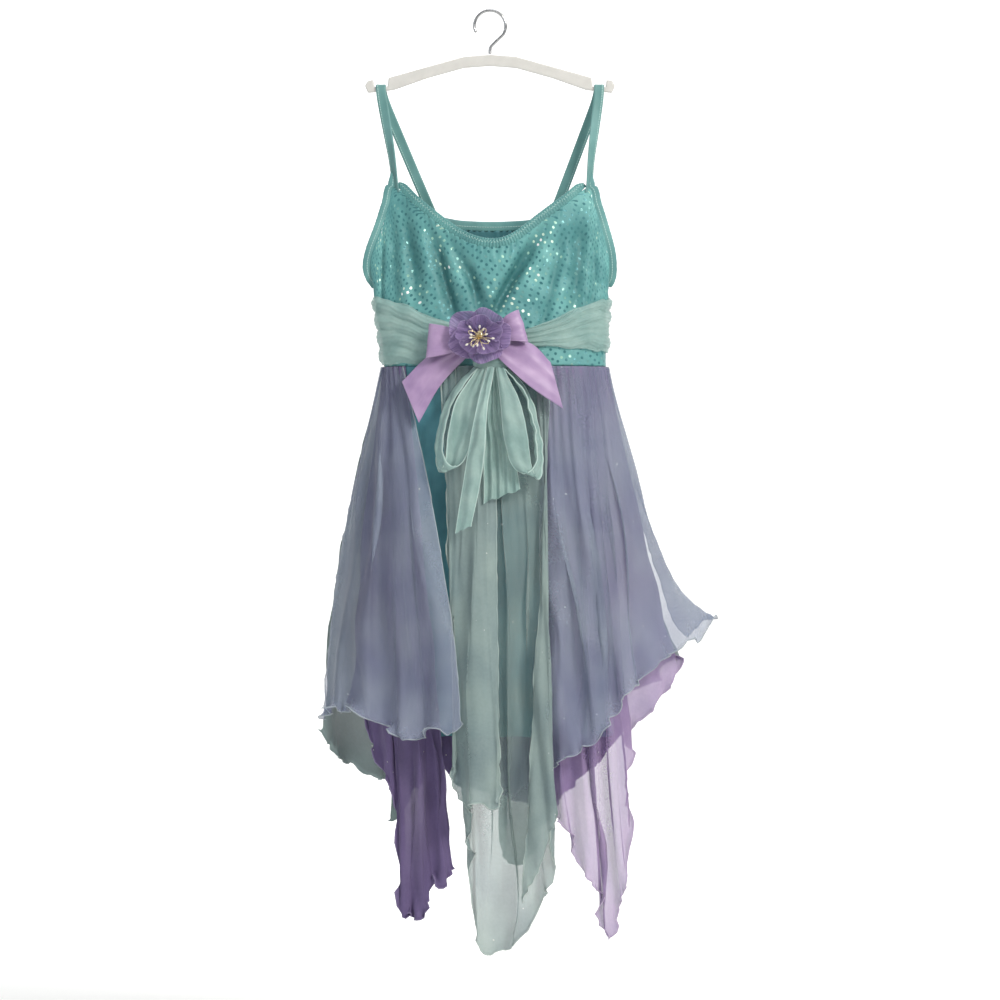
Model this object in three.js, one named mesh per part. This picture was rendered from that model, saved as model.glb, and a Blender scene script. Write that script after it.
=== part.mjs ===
// A child's lyrical dance dress, hanging by its straps from a plain hanger.
// Foil-dot camisole bodice, chiffon sash tied in front, satin bow with a gathered
// flower, and a skirt of handkerchief panels over a short lining.
// Millimetres, +Z up, the front faces -Y. The origin is the crown of the hanger's hook,
// and every drop is measured straight down from it.
import * as THREE from "three";

// Driving sizes
const CLOTH = 1.4; // bodice knit, with its turnings
const CHIFFON = 1.0; // each skirt panel
const SEAM = 0.35; // clearance between sewn pieces
const WAIST = { drop: 355, centre: 5, halfWidth: 109.5, halfDepth: 36 };
const ROUNDING = 0.83; // below 1, a ring is flatter in front and tighter at the sides
const STRAP = { width: 10, thick: 1.5 };
const BINDING = { width: 6, thick: 2.0, clear: 1.3 };
const CASING = { width: 8, thick: 2.6, clear: 0.85 };
const SATIN = { width: 38, thick: 1.0 };
const SEAT = { x: 109, drop: 75, barHalf: 3 }; // where a strap crosses the hanger's arm

const COLOURS = {
  aqua: 0x5fb3ae,
  aquaDeep: 0x3f8b90,
  mint: 0xa9cbbd,
  lilac: 0x9c8bc0,
  satin: 0xb58fc4,
  petal: 0x8672b8,
  gold: 0xcdb27a,
  plastic: 0xe4e2dc,
  steel: 0xb9bbbd,
};

const radians = THREE.MathUtils.degToRad;
const lerp = THREE.MathUtils.lerp;
const clamp01 = (value) => THREE.MathUtils.clamp(value, 0, 1);
const place = (x, depth, drop) => new THREE.Vector3(x, depth, -drop);
const placeRow = ({ x, depth, drop }) => place(x, depth, drop);
const signedPower = (value, power) => Math.sign(value) * Math.abs(value) ** power;

// Points along a smooth curve through the given ones
function spline(points, perSpan, closed = false) {
  const curve = new THREE.CatmullRomCurve3(points, closed, "catmullrom", 0.5);
  const steps = perSpan * (closed ? points.length : points.length - 1);
  const count = closed ? steps : steps + 1;
  return Array.from({ length: count }, (_, i) => curve.getPoint(i / steps));
}

// Unit normals of a grid of points, from the points beside each one
function gridNormals(grid, closed) {
  const rows = grid.length;
  const columns = grid[0].length;
  const across = new THREE.Vector3();
  const along = new THREE.Vector3();
  return grid.map((row, r) =>
    row.map((_, c) => {
      const before = closed ? (c + columns - 1) % columns : Math.max(c - 1, 0);
      const after = closed ? (c + 1) % columns : Math.min(c + 1, columns - 1);
      across.subVectors(row[after], row[before]);
      along.subVectors(grid[Math.min(r + 1, rows - 1)][c], grid[Math.max(r - 1, 0)][c]);
      return new THREE.Vector3().crossVectors(across, along).normalize();
    }),
  );
}

// A closed solid between two grids of the same shape, with a rim round every open edge
function solidBetween(outer, inner, closed = false) {
  const rows = outer.length;
  const columns = outer[0].length;
  const positions = [...outer.flat(), ...inner.flat()].flatMap((p) => p.toArray());
  const index = (side, r, c) => side * rows * columns + r * columns + (c % columns);
  const triangles = [];
  const quad = (a, b, c, d) => triangles.push(a, b, c, a, c, d);
  const spans = closed ? columns : columns - 1;
  for (let c = 0; c < spans; c++) {
    for (let r = 0; r < rows - 1; r++) {
      quad(index(0, r, c), index(0, r, c + 1), index(0, r + 1, c + 1), index(0, r + 1, c));
      quad(index(1, r, c), index(1, r + 1, c), index(1, r + 1, c + 1), index(1, r, c + 1));
    }
    quad(index(0, 0, c), index(1, 0, c), index(1, 0, c + 1), index(0, 0, c + 1));
    const last = rows - 1;
    quad(index(0, last, c), index(0, last, c + 1), index(1, last, c + 1), index(1, last, c));
  }
  if (!closed) {
    const last = columns - 1;
    for (let r = 0; r < rows - 1; r++) {
      quad(index(0, r, 0), index(0, r + 1, 0), index(1, r + 1, 0), index(1, r, 0));
      quad(index(0, r, last), index(1, r, last), index(1, r + 1, last), index(0, r + 1, last));
    }
  }
  const geometry = new THREE.BufferGeometry();
  geometry.setAttribute("position", new THREE.Float32BufferAttribute(positions, 3));
  geometry.setIndex(signedVolume(positions, triangles) < 0 ? triangles.reverse() : triangles);
  geometry.computeVertexNormals();
  return geometry;
}

function signedVolume(positions, triangles) {
  const corner = (i) => new THREE.Vector3().fromArray(positions, 3 * triangles[i]);
  let sum = 0;
  for (let i = 0; i < triangles.length; i += 3) {
    sum += corner(i).dot(corner(i + 1).cross(corner(i + 2)));
  }
  return sum / 6;
}

// A cloth wall whose outer face is the grid; outwards(point) says which side is out
function wall(grid, thick, { closed = false, outwards = fromWaistAxis } = {}) {
  const normals = gridNormals(grid, closed);
  const agreement = grid
    .flatMap((row, r) => row.map((p, c) => normals[r][c].dot(outwards(p))))
    .reduce((sum, value) => sum + value, 0);
  const inwards = -Math.sign(agreement) * thick;
  const inner = grid.map((row, r) =>
    row.map((p, c) => p.clone().addScaledVector(normals[r][c], inwards)),
  );
  return solidBetween(grid, inner, closed);
}

const fromWaistAxis = (p) => new THREE.Vector3(p.x - WAIST.centre, p.y, 0).normalize();

// A flat strip along a path; across gives the direction of its width at each point
function strip(path, across, width, thick) {
  const face = path.map((p, i) => {
    const tangent = new THREE.Vector3().subVectors(
      path[Math.min(i + 1, path.length - 1)],
      path[Math.max(i - 1, 0)],
    );
    const sideways = across[i].clone().normalize();
    const normal = new THREE.Vector3().crossVectors(tangent, sideways).normalize();
    const half = (Array.isArray(width) ? width[i] : width) / 2;
    return [-half, half].map((offset) => ({
      point: p.clone().addScaledVector(sideways, offset),
      normal,
    }));
  });
  const moved = (share) =>
    face.map((row) => row.map((f) => f.point.clone().addScaledVector(f.normal, share * thick)));
  return solidBetween(moved(0.5), moved(-0.5));
}

// Directions turning evenly from row to row of a table, for a strip's width
function directions(rows, perSpan) {
  return spline(
    rows.map(({ ax, ay, az }) => new THREE.Vector3(ax, ay, az).normalize()),
    perSpan,
  );
}

// The torso and waist rings: angle 0 is the front, 90 the wearer's left at the photo's right
function ringPoint({ drop, centre, halfWidth, halfDepth }, degrees, outset = 0) {
  const angle = radians(degrees);
  return place(
    centre + (halfWidth + outset) * signedPower(Math.sin(angle), ROUNDING),
    -(halfDepth + outset) * signedPower(Math.cos(angle), ROUNDING),
    drop,
  );
}

const materials = new Map();
function finish(colour, { roughness = 0.8, metalness = 0, opacity = 1 } = {}) {
  const key = [colour, roughness, opacity].join();
  if (!materials.has(key)) {
    const look = { color: colour, roughness, metalness, opacity, transparent: opacity < 1 };
    materials.set(key, new THREE.MeshStandardMaterial({ ...look, side: THREE.DoubleSide }));
  }
  return materials.get(key);
}

const dress = new THREE.Group();
function add(name, geometry, material) {
  const mesh = new THREE.Mesh(geometry, material);
  mesh.name = name;
  dress.add(mesh);
  return mesh;
}

// Hanger: a flat moulded bar with a notch for each strap, and a wire hook
const HANGER = { halfWidth: 125, crownDrop: 43, bevel: 1.2, notchHalf: 6.6 };
const HOOK = { innerRadius: 14, wireRadius: 1.6, stemDrop: 42 };

function hangerBody() {
  const side = [
    { x: 0, drop: HANGER.crownDrop },
    { x: 26, drop: 45 },
    { x: 62, drop: 55 },
    { x: SEAT.x - HANGER.notchHalf - 1, drop: 66 },
    { x: SEAT.x - HANGER.notchHalf, drop: SEAT.drop },
    { x: SEAT.x + HANGER.notchHalf, drop: SEAT.drop },
    { x: SEAT.x + HANGER.notchHalf + 1, drop: 68 },
    { x: HANGER.halfWidth - 3, drop: 69 },
    { x: HANGER.halfWidth, drop: 74 },
    { x: HANGER.halfWidth - 3, drop: 81 },
    { x: 96, drop: 78 },
    { x: 62, drop: 66 },
    { x: 26, drop: 56 },
    { x: 0, drop: 54 },
  ];
  const mirrored = side.slice(1, -1).reverse().map(({ x, drop }) => ({ x: -x, drop }));
  const outline = [...side, ...mirrored].map(({ x, drop }) => new THREE.Vector2(x, -drop));
  const depth = 2 * (SEAT.barHalf - HANGER.bevel);
  const geometry = new THREE.ExtrudeGeometry(new THREE.Shape(outline), {
    depth,
    bevelSize: 0,
    bevelThickness: HANGER.bevel,
    bevelSegments: 1,
    bevelOffset: 0,
  });
  return geometry.translate(0, 0, -depth / 2).rotateX(Math.PI / 2);
}

function hangerHook() {
  const reach = HOOK.innerRadius + HOOK.wireRadius;
  const stem = [
    place(0, 0, HOOK.stemDrop),
    place(0, 0, HOOK.stemDrop - 4),
    place(1.5, 0, HOOK.stemDrop - 8),
  ];
  const bend = Array.from({ length: 12 }, (_, i) => {
    const angle = radians(-58 + 24 * i);
    return place(reach * Math.cos(angle), 0, HOOK.innerRadius - reach * Math.sin(angle));
  });
  const path = new THREE.CatmullRomCurve3([...stem, ...bend]);
  const section = new THREE.Shape().absarc(0, 0, HOOK.wireRadius, 0, 2 * Math.PI);
  return new THREE.ExtrudeGeometry(section, { steps: 26, extrudePath: path, curveSegments: 4 });
}

// Bodice: each panel hangs between the waist ring and a table of points along its top edge.
// outX and outUp give the way that the binding carries on from the cloth there.
const FRONT_TOP = [
  { name: "underarm", x: -111, depth: -0.3, drop: 274, outX: -0.9, outUp: -0.35 },
  { name: "armhole", x: -117, depth: -3, drop: 266, outX: -0.97, outUp: -0.2 },
  { name: "armhole", x: -120, depth: -6, drop: 255, outX: -1, outUp: 0 },
  { name: "armhole", x: -117, depth: -8, drop: 239, outX: -0.97, outUp: 0.2 },
  { name: "armhole", x: -108, depth: -10, drop: 215, outX: -0.95, outUp: 0.3 },
  { name: "armhole", x: -101, depth: -11, drop: 193, outX: -0.97, outUp: 0.2 },
  { name: "strap", x: -95, depth: -12, drop: 176, outX: -0.95, outUp: 0.3 },
  { name: "neck", x: -74, depth: -19, drop: 195, outX: 0.5, outUp: 0.86 },
  { name: "neck", x: -52, depth: -24, drop: 213, outX: 0.55, outUp: 0.83 },
  { name: "neck", x: -30, depth: -28, drop: 228, outX: 0.5, outUp: 0.86 },
  { name: "neck", x: -8, depth: -30, drop: 236, outX: 0.2, outUp: 0.98 },
  { name: "neck", x: 12, depth: -30, drop: 236, outX: -0.2, outUp: 0.98 },
  { name: "neck", x: 30, depth: -28, drop: 228, outX: -0.5, outUp: 0.86 },
  { name: "neck", x: 52, depth: -24, drop: 211, outX: -0.55, outUp: 0.83 },
  { name: "neck", x: 76, depth: -19, drop: 193, outX: -0.5, outUp: 0.86 },
  { name: "strap", x: 98, depth: -12, drop: 177, outX: 0.95, outUp: 0.3 },
  { name: "armhole", x: 104.5, depth: -11, drop: 194, outX: 0.97, outUp: 0.2 },
  { name: "armhole", x: 112, depth: -10, drop: 218, outX: 0.95, outUp: 0.3 },
  { name: "armhole", x: 118, depth: -8, drop: 240, outX: 0.99, outUp: 0.1 },
  { name: "armhole", x: 119.5, depth: -6, drop: 256, outX: 1, outUp: 0 },
  { name: "armhole", x: 118.5, depth: -3, drop: 266, outX: 0.97, outUp: -0.2 },
  { name: "underarm", x: 115, depth: -0.3, drop: 273, outX: 0.9, outUp: -0.35 },
];
const BACK_TOP = [
  { name: "underarm", x: -111, depth: 0.3, drop: 274, outX: -0.9, outUp: -0.35 },
  { name: "armhole", x: -100, depth: 6, drop: 265, outX: -0.8, outUp: 0.6 },
  { name: "armhole", x: -86, depth: 11, drop: 247, outX: -0.7, outUp: 0.7 },
  { name: "armhole", x: -70, depth: 14, drop: 228, outX: -0.7, outUp: 0.7 },
  { name: "strap", x: -58, depth: 16, drop: 213, outX: -0.7, outUp: 0.7 },
  { name: "neck", x: -28, depth: 20, drop: 216, outX: 0, outUp: 1 },
  { name: "neck", x: 2, depth: 22, drop: 217, outX: 0, outUp: 1 },
  { name: "neck", x: 32, depth: 20, drop: 216, outX: 0, outUp: 1 },
  { name: "strap", x: 62, depth: 16, drop: 214, outX: 0.7, outUp: 0.7 },
  { name: "armhole", x: 75, depth: 14, drop: 229, outX: 0.7, outUp: 0.7 },
  { name: "armhole", x: 91, depth: 11, drop: 247, outX: 0.7, outUp: 0.7 },
  { name: "armhole", x: 105, depth: 6, drop: 263, outX: 0.8, outUp: 0.6 },
  { name: "underarm", x: 115, depth: 0.3, drop: 273, outX: 0.9, outUp: -0.35 },
];
const EDGES = { leftStrap: 6, rightStrap: 15, rightUnderarm: 21, backLeft: 4, backRight: 8 };
// Soft troughs in the front, from near the straps towards the tied waist
const TROUGHS = [
  { fromX: 88, fromDrop: 216, toX: 9, toDrop: 318, depth: 5.5, width: 7 },
  { fromX: -42, fromDrop: 222, toX: -6, toDrop: 290, depth: 4.5, width: 7 },
  { fromX: -70, fromDrop: 212, toX: -30, toDrop: 312, depth: 4, width: 7 },
  { fromX: -86, fromDrop: 192, toX: -72, toDrop: 296, depth: 4, width: 6 },
  { fromX: 84, fromDrop: 200, toX: 72, toDrop: 292, depth: 3.5, width: 6 },
  { fromX: 101, fromDrop: 205, toX: 98, toDrop: 290, depth: 2.5, width: 5 },
];

function troughDepth(x, drop) {
  return TROUGHS.reduce((sum, fold) => {
    const run = new THREE.Vector2(fold.toX - fold.fromX, fold.toDrop - fold.fromDrop);
    const from = new THREE.Vector2(x - fold.fromX, drop - fold.fromDrop);
    const share = clamp01(from.dot(run) / run.lengthSq());
    const away = from.addScaledVector(run, -share).length() / fold.width;
    const fade = Math.sin(Math.PI * (0.15 + 0.7 * share));
    return sum + fold.depth * fade * Math.exp(-away * away);
  }, 0);
}

const BODICE_SEAM = { ...WAIST, drop: WAIST.drop - 0.3 };
function bodiceGrid(topRows, { fromAngle, toAngle, perSpan, rows, troughs }) {
  const top = spline(topRows.map(placeRow), perSpan);
  return Array.from({ length: rows + 1 }, (_, r) => {
    const share = r / rows;
    return top.map((edge, c) => {
      const angle = lerp(fromAngle, toAngle, c / (top.length - 1));
      const point = ringPoint(BODICE_SEAM, angle, CLOTH).lerp(edge, share);
      const rest = 1 - Math.abs(2 * share - 1) ** 3;
      if (troughs) point.y += rest * troughDepth(point.x, -point.z);
      return point;
    });
  });
}

const SIDE_SEAM = 89.8; // degrees, so that front and back end a seam's clearance apart
const frontGrid = bodiceGrid(FRONT_TOP, {
  fromAngle: -SIDE_SEAM,
  toAngle: SIDE_SEAM,
  perSpan: 2,
  rows: 10,
  troughs: true,
});
const backGrid = bodiceGrid(BACK_TOP, {
  fromAngle: 180 + SIDE_SEAM,
  toAngle: 180 - SIDE_SEAM,
  perSpan: 2,
  rows: 6,
  troughs: false,
});

// Part of a panel's top edge, between two rows of its table
function edgeOf(topRows, fromRow, toRow) {
  const points = spline(topRows.map(placeRow), 2);
  const rows = topRows.map(({ outX, outUp }) => ({ ax: outX, ay: 0, az: outUp }));
  const outwards = directions(rows, 2);
  return points
    .map((point, i) => ({ point, outwards: outwards[i].normalize() }))
    .slice(2 * fromRow, 2 * toRow + 1);
}

// A band that carries on from a cloth edge, thicker than the cloth and clear of it by a seam
function edgeBand(edge, { width, thick, clear }, ends = {}) {
  const last = edge.length - 1;
  const frames = edge.map(({ point, outwards: given }, i) => {
    const outwards = (i === 0 && ends.first) || (i === last && ends.last) || given;
    const tangent = new THREE.Vector3()
      .subVectors(edge[Math.min(i + 1, last)].point, edge[Math.max(i - 1, 0)].point)
      .normalize();
    const trim = SEAM * ((i === 0) - (i === last));
    const normal = new THREE.Vector3().crossVectors(tangent, outwards).normalize();
    return { point: point.clone().addScaledVector(tangent, trim), normal, outwards };
  });
  const turn = Math.sign(
    frames.reduce((sum, { point, normal }) => sum + normal.dot(fromWaistAxis(point)), 0),
  );
  const face = (lift) =>
    frames.map(({ point, normal, outwards }) =>
      [clear, width / 2, width].map((reach) =>
        point
          .clone()
          .addScaledVector(outwards, reach)
          .addScaledVector(normal, turn * (lift - CLOTH / 2)),
      ),
    );
  return solidBetween(face(thick / 2), face(-thick / 2));
}

// Straps: front strand, over the hanger's arm, and down to the back neckline
const STRAP_PATH = [
  { x: -97, depth: -12, drop: 171.6, ax: 0.55, ay: 0.83, az: 0 },
  { x: -99.5, depth: -11, drop: 146, ax: 0.7, ay: 0.7, az: 0 },
  { x: -104, depth: -8.5, drop: 115, ax: 0.9, ay: 0.4, az: 0 },
  { x: -108, depth: -5.4, drop: 88, ax: 1, ay: 0.05, az: 0 },
  { x: -109, depth: -4.3, drop: 77, ax: 1, ay: 0, az: 0 },
  { x: -109, depth: -3.75, drop: 74.0, ax: 1, ay: 0, az: 0 },
  { x: -109, depth: 0, drop: 73.4, ax: 1, ay: 0, az: 0 },
  { x: -109, depth: 3.75, drop: 74.0, ax: 1, ay: 0, az: 0 },
  { x: -109, depth: 4.3, drop: 77, ax: 1, ay: 0, az: 0 },
  { x: -105, depth: 6, drop: 92, ax: 1, ay: 0, az: 0.1 },
  { x: -92, depth: 9, drop: 125, ax: 0.95, ay: 0, az: 0.3 },
  { x: -76, depth: 12.5, drop: 165, ax: 0.94, ay: 0, az: 0.34 },
  { x: -60.6, depth: 15.2, drop: 203.1, ax: 0.94, ay: 0, az: 0.34 },
];

function strap(side) {
  const rows = STRAP_PATH.map((row) => ({ ...row, x: -side * row.x, ax: -side * row.ax }));
  const shifted = rows.map((row) => {
    const lower = clamp01((row.drop - 78) / 125);
    return { ...row, x: row.x + 3 * lower };
  });
  return strip(
    spline(shifted.map(placeRow), 2),
    directions(shifted.map((row) => ({ ...row, ax: -row.ax, az: row.az })), 2),
    STRAP.width,
    STRAP.thick,
  );
}

// Sash: a pleated band round the waist, tied in front in two loops and two tails
const SASH = { clearance: 0.9, thick: 1.0, pleatDepth: 1.6, pleats: 3, rows: 6 };
const SASH_FRONT = [
  { x: -115, top: 284, bottom: 353 },
  { x: -90, top: 292, bottom: 353 },
  { x: -70, top: 302, bottom: 353 },
  { x: -45, top: 312, bottom: 351 },
  { x: -20, top: 320, bottom: 348 },
  { x: 5, top: 325, bottom: 345 },
  { x: 30, top: 320, bottom: 338 },
  { x: 55, top: 312, bottom: 336 },
  { x: 80, top: 302, bottom: 337 },
  { x: 100, top: 292, bottom: 339 },
  { x: 122, top: 285, bottom: 341 },
];
const SASH_BACK = [
  { x: -115, top: 284, bottom: 353 },
  { x: -60, top: 283, bottom: 352 },
  { x: 0, top: 287, bottom: 350 },
  { x: 60, top: 286, bottom: 346 },
  { x: 122, top: 285, bottom: 341 },
];

function sashEdges(table, x) {
  const i = Math.min(
    table.findIndex((row, k) => k === table.length - 2 || x < table[k + 1].x),
    table.length - 2,
  );
  const share = clamp01((x - table[i].x) / (table[i + 1].x - table[i].x));
  return {
    top: lerp(table[i].top, table[i + 1].top, share),
    bottom: lerp(table[i].bottom, table[i + 1].bottom, share),
  };
}

// The columns of the two bodice panels, once round, as smooth lines from waist to top edge
function bodiceColumns() {
  const lines = (topRows, fromAngle, toAngle, table) => {
    const top = spline(topRows.map(placeRow), 2);
    return top.map((edge, c) => ({
      foot: ringPoint(BODICE_SEAM, lerp(fromAngle, toAngle, c / (top.length - 1)), CLOTH),
      edge,
      table,
    }));
  };
  const front = lines(FRONT_TOP, -90, 90, SASH_FRONT);
  const back = lines(BACK_TOP, 270, 90, SASH_BACK).reverse();
  return [...front, ...back.slice(1, -1)];
}

function sashWrap() {
  const base = Array.from({ length: SASH.rows + 1 }, (_, r) =>
    bodiceColumns().map(({ foot, edge, table }) => {
      const { top, bottom } = sashEdges(table, lerp(foot.x, edge.x, 0.45));
      const drop = lerp(bottom, top, r / SASH.rows);
      return foot.clone().lerp(edge, (-foot.z - drop) / (edge.z - foot.z));
    }),
  );
  const normals = gridNormals(base, true);
  const face = (lift) =>
    base.map((row, r) =>
      row.map((p, c) => {
        const outwards = Math.sign(normals[r][c].dot(fromWaistAxis(p)));
        return p.clone().addScaledVector(normals[r][c], outwards * lift(r));
      }),
    );
  const pleat = (r) => SASH.pleatDepth * Math.sin((Math.PI * SASH.pleats * r) / SASH.rows) ** 2;
  const outer = face((r) => SASH.clearance + SASH.thick + pleat(r));
  return solidBetween(outer, face(() => SASH.clearance), true);
}

const LOOP_LEFT = [
  { x: -14, depth: -49.5, drop: 358.4, ax: 0.4, ay: -0.85, az: -0.2, width: 8 },
  { x: -33, depth: -54, drop: 381, ax: 0.4, ay: -0.9, az: 0, width: 13 },
  { x: -45, depth: -60, drop: 410, ax: 0.4, ay: -0.9, az: 0, width: 16 },
  { x: -49, depth: -66, drop: 440, ax: 0.45, ay: -0.85, az: 0, width: 17 },
  { x: -43, depth: -70, drop: 458, ax: 0.7, ay: -0.6, az: 0.3, width: 19 },
  { x: -34, depth: -75, drop: 449, ax: 0.9, ay: -0.3, az: 0.2, width: 21 },
  { x: -28, depth: -74, drop: 420, ax: 1, ay: -0.1, az: 0.1, width: 25 },
  { x: -22, depth: -67, drop: 390, ax: 1, ay: 0, az: 0.1, width: 22 },
  { x: -8, depth: -52.0, drop: 358, ax: 1, ay: 0, az: 0.1, width: 9 },
];
const LOOP_RIGHT = [
  { x: 16, depth: -49.5, drop: 358.4, ax: -0.4, ay: -0.85, az: -0.2, width: 8 },
  { x: 35, depth: -54, drop: 380, ax: -0.4, ay: -0.9, az: 0, width: 13 },
  { x: 45, depth: -60, drop: 412, ax: -0.4, ay: -0.9, az: 0, width: 16 },
  { x: 49, depth: -66, drop: 448, ax: -0.45, ay: -0.85, az: 0, width: 18 },
  { x: 41, depth: -71, drop: 465, ax: -0.7, ay: -0.6, az: 0.3, width: 20 },
  { x: 31, depth: -76, drop: 454, ax: -0.9, ay: -0.3, az: 0.2, width: 22 },
  { x: 25, depth: -75, drop: 424, ax: -1, ay: -0.1, az: 0.1, width: 24 },
  { x: 20, depth: -67, drop: 392, ax: -1, ay: 0, az: 0.1, width: 20 },
  { x: 10, depth: -51.9, drop: 358, ax: -1, ay: 0, az: 0.1, width: 8 },
];
const TAIL_LEFT = [
  { x: 1, depth: -52.0, drop: 357, ax: 1, ay: 0, az: 0, width: 7 },
  { x: -8, depth: -78, drop: 400, ax: 1, ay: -0.1, az: 0, width: 11 },
  { x: -13, depth: -84, drop: 440, ax: 0.95, ay: -0.3, az: 0, width: 17 },
  { x: -19, depth: -84, drop: 478, ax: 0.97, ay: -0.2, az: 0.15, width: 18 },
  { x: -26, depth: -83, drop: 515, ax: 0.97, ay: -0.1, az: 0.2, width: 16 },
];
const TAIL_RIGHT = [
  { x: 3, depth: -47.8, drop: 361.4, ax: 1, ay: 0, az: 0, width: 16 },
  { x: 5, depth: -57, drop: 400, ax: 1, ay: 0, az: 0, width: 22 },
  { x: 9, depth: -62, drop: 440, ax: 1, ay: 0, az: 0, width: 30 },
  { x: 12, depth: -66, drop: 480, ax: 0.99, ay: 0, az: 0.13, width: 36 },
];

function tableStrip(rows, perSpan, thick) {
  const widths = spline(rows.map(({ width }) => new THREE.Vector3(width, 0, 0)), perSpan);
  return strip(
    spline(rows.map(placeRow), perSpan),
    directions(rows, perSpan),
    widths.map(({ x }) => x),
    thick,
  );
}

const KNOT = { x: 1, drop: 353, depth: -47.2, halfWidth: 18, halfHeight: 8, halfDepth: 4.2 };

function sashKnot() {
  const geometry = new THREE.SphereGeometry(1, 14, 8);
  geometry.scale(KNOT.halfWidth, KNOT.halfDepth, KNOT.halfHeight);
  return geometry.translate(KNOT.x, KNOT.depth, -KNOT.drop);
}

// Satin bow: two folded loops and two tails cut on the slant
const BOW_LOOP_LEFT = [
  { x: -26.7, depth: -50.5, drop: 330, ax: 0.1, ay: 0, az: 1, width: 18 },
  { x: -44, depth: -54.5, drop: 331, ax: 0.1, ay: 0.1, az: 1, width: 28 },
  { x: -57, depth: -53, drop: 331, ax: 0.1, ay: 0.1, az: 1, width: 33 },
  { x: -61, depth: -49.5, drop: 331, ax: 0.1, ay: 0.1, az: 1, width: 34 },
  { x: -57, depth: -46.2, drop: 331, ax: 0.1, ay: 0, az: 1, width: 33 },
  { x: -42, depth: -46, drop: 331, ax: 0.1, ay: 0, az: 1, width: 27 },
  { x: -26.7, depth: -46, drop: 330, ax: 0.1, ay: 0, az: 1, width: 18 },
];
const BOW_LOOP_RIGHT = [
  { x: 9.5, depth: -50.5, drop: 323, ax: -0.1, ay: 0, az: 1, width: 16 },
  { x: 20, depth: -54.5, drop: 319, ax: -0.3, ay: 0.1, az: 1, width: 26 },
  { x: 29, depth: -54, drop: 317, ax: -0.3, ay: 0.1, az: 1, width: 32 },
  { x: 33, depth: -50, drop: 316, ax: -0.3, ay: 0.1, az: 1, width: 33 },
  { x: 29, depth: -46.5, drop: 317, ax: -0.3, ay: 0, az: 1, width: 32 },
  { x: 19, depth: -46, drop: 319, ax: -0.3, ay: 0, az: 1, width: 25 },
  { x: 9.5, depth: -46.5, drop: 323, ax: -0.1, ay: 0, az: 1, width: 16 },
];

// The turn of ribbon that gathers the bow, flat against the sash and behind the flower
const BOW_KNOT = { x: -8.5, depth: -46.2, drop: 326, halfWidth: 16.9, halfDepth: 6.5, height: 14 };

function bowKnot() {
  const outline = Array.from({ length: 16 }, (_, i) => {
    const angle = (Math.PI * i) / 8;
    return new THREE.Vector2(
      BOW_KNOT.halfWidth * signedPower(Math.cos(angle), 0.5),
      BOW_KNOT.halfDepth * signedPower(Math.sin(angle), 0.5),
    );
  });
  const shape = new THREE.Shape(outline);
  const geometry = new THREE.ExtrudeGeometry(shape, { depth: BOW_KNOT.height, bevelEnabled: false });
  const foot = -BOW_KNOT.drop - BOW_KNOT.height / 2;
  return geometry.translate(BOW_KNOT.x, BOW_KNOT.depth, foot);
}

// A ribbon tail hangs between two long edges, each from the flower to its own cut corner
const BOW_TAIL_LEFT = {
  near: [
    { x: -29, depth: -39.6, drop: 331 },
    { x: -60, depth: -41, drop: 345 },
    { x: -87, depth: -42, drop: 371 },
  ],
  far: [
    { x: -18, depth: -41.5, drop: 342 },
    { x: -48, depth: -47, drop: 374 },
    { x: -70, depth: -52, drop: 412 },
  ],
};
const BOW_TAIL_RIGHT = {
  near: [
    { x: 10.4, depth: -42.3, drop: 329 },
    { x: 40, depth: -43, drop: 333 },
    { x: 60, depth: -46, drop: 352 },
  ],
  far: [
    { x: 5, depth: -52.4, drop: 345 },
    { x: 38, depth: -58, drop: 375 },
    { x: 72, depth: -58, drop: 398 },
  ],
};

function ribbonTail({ near, far }) {
  const a = spline(near.map(placeRow), 4);
  const b = spline(far.map(placeRow), 4);
  const grid = a.map((p, i) =>
    [0, 0.25, 0.5, 0.75, 1].map((share) => {
      const point = p.clone().lerp(b[i], share);
      point.y -= 1.5 * Math.sin(Math.PI * share);
      return point;
    }),
  );
  return wall(grid, SATIN.thick, { outwards: () => new THREE.Vector3(0, -1, 0) });
}

// Flower: two gathered rounds of petals and the boss that holds the stamens
const FLOWER = { x: -10, drop: 326, depth: -56.8 };
const PETAL_ROUNDS = [
  { name: "flower_outer_petals", lobes: 6, inner: 5, outer: 32, back: 0, dish: 3, notch: 0.22 },
  { name: "flower_inner_petals", lobes: 5, inner: 5.2, outer: 21, back: 6, dish: 5, notch: 0.25 },
  { name: "flower_stamens", lobes: 9, inner: 4.8, outer: 15, back: 13, dish: 3, notch: 0.6 },
];

function petalRound({ lobes, inner, outer, back, dish, notch }) {
  const perLobe = lobes > 6 ? 4 : 6;
  const rings = lobes > 6 ? 2 : 4;
  const around = lobes * perLobe;
  const grid = Array.from({ length: rings + 1 }, (_, r) => {
    const share = r / rings;
    return Array.from({ length: around }, (_, i) => {
      const angle = (2 * Math.PI * i) / around;
      const lobe = Math.abs(Math.cos((lobes * angle) / 2)) ** 0.6;
      const radius = lerp(inner, outer * (1 - notch * (1 - lobe)), share);
      const cup = dish * share ** 2 * (0.6 + 0.4 * Math.cos(lobes * angle));
      return place(
        FLOWER.x + radius * Math.sin(angle + 0.2),
        FLOWER.depth - back - cup,
        FLOWER.drop - 0.85 * radius * Math.cos(angle + 0.2),
      );
    });
  });
  return wall(grid, CHIFFON, { closed: true, outwards: () => new THREE.Vector3(0, -1, 0) });
}

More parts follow.
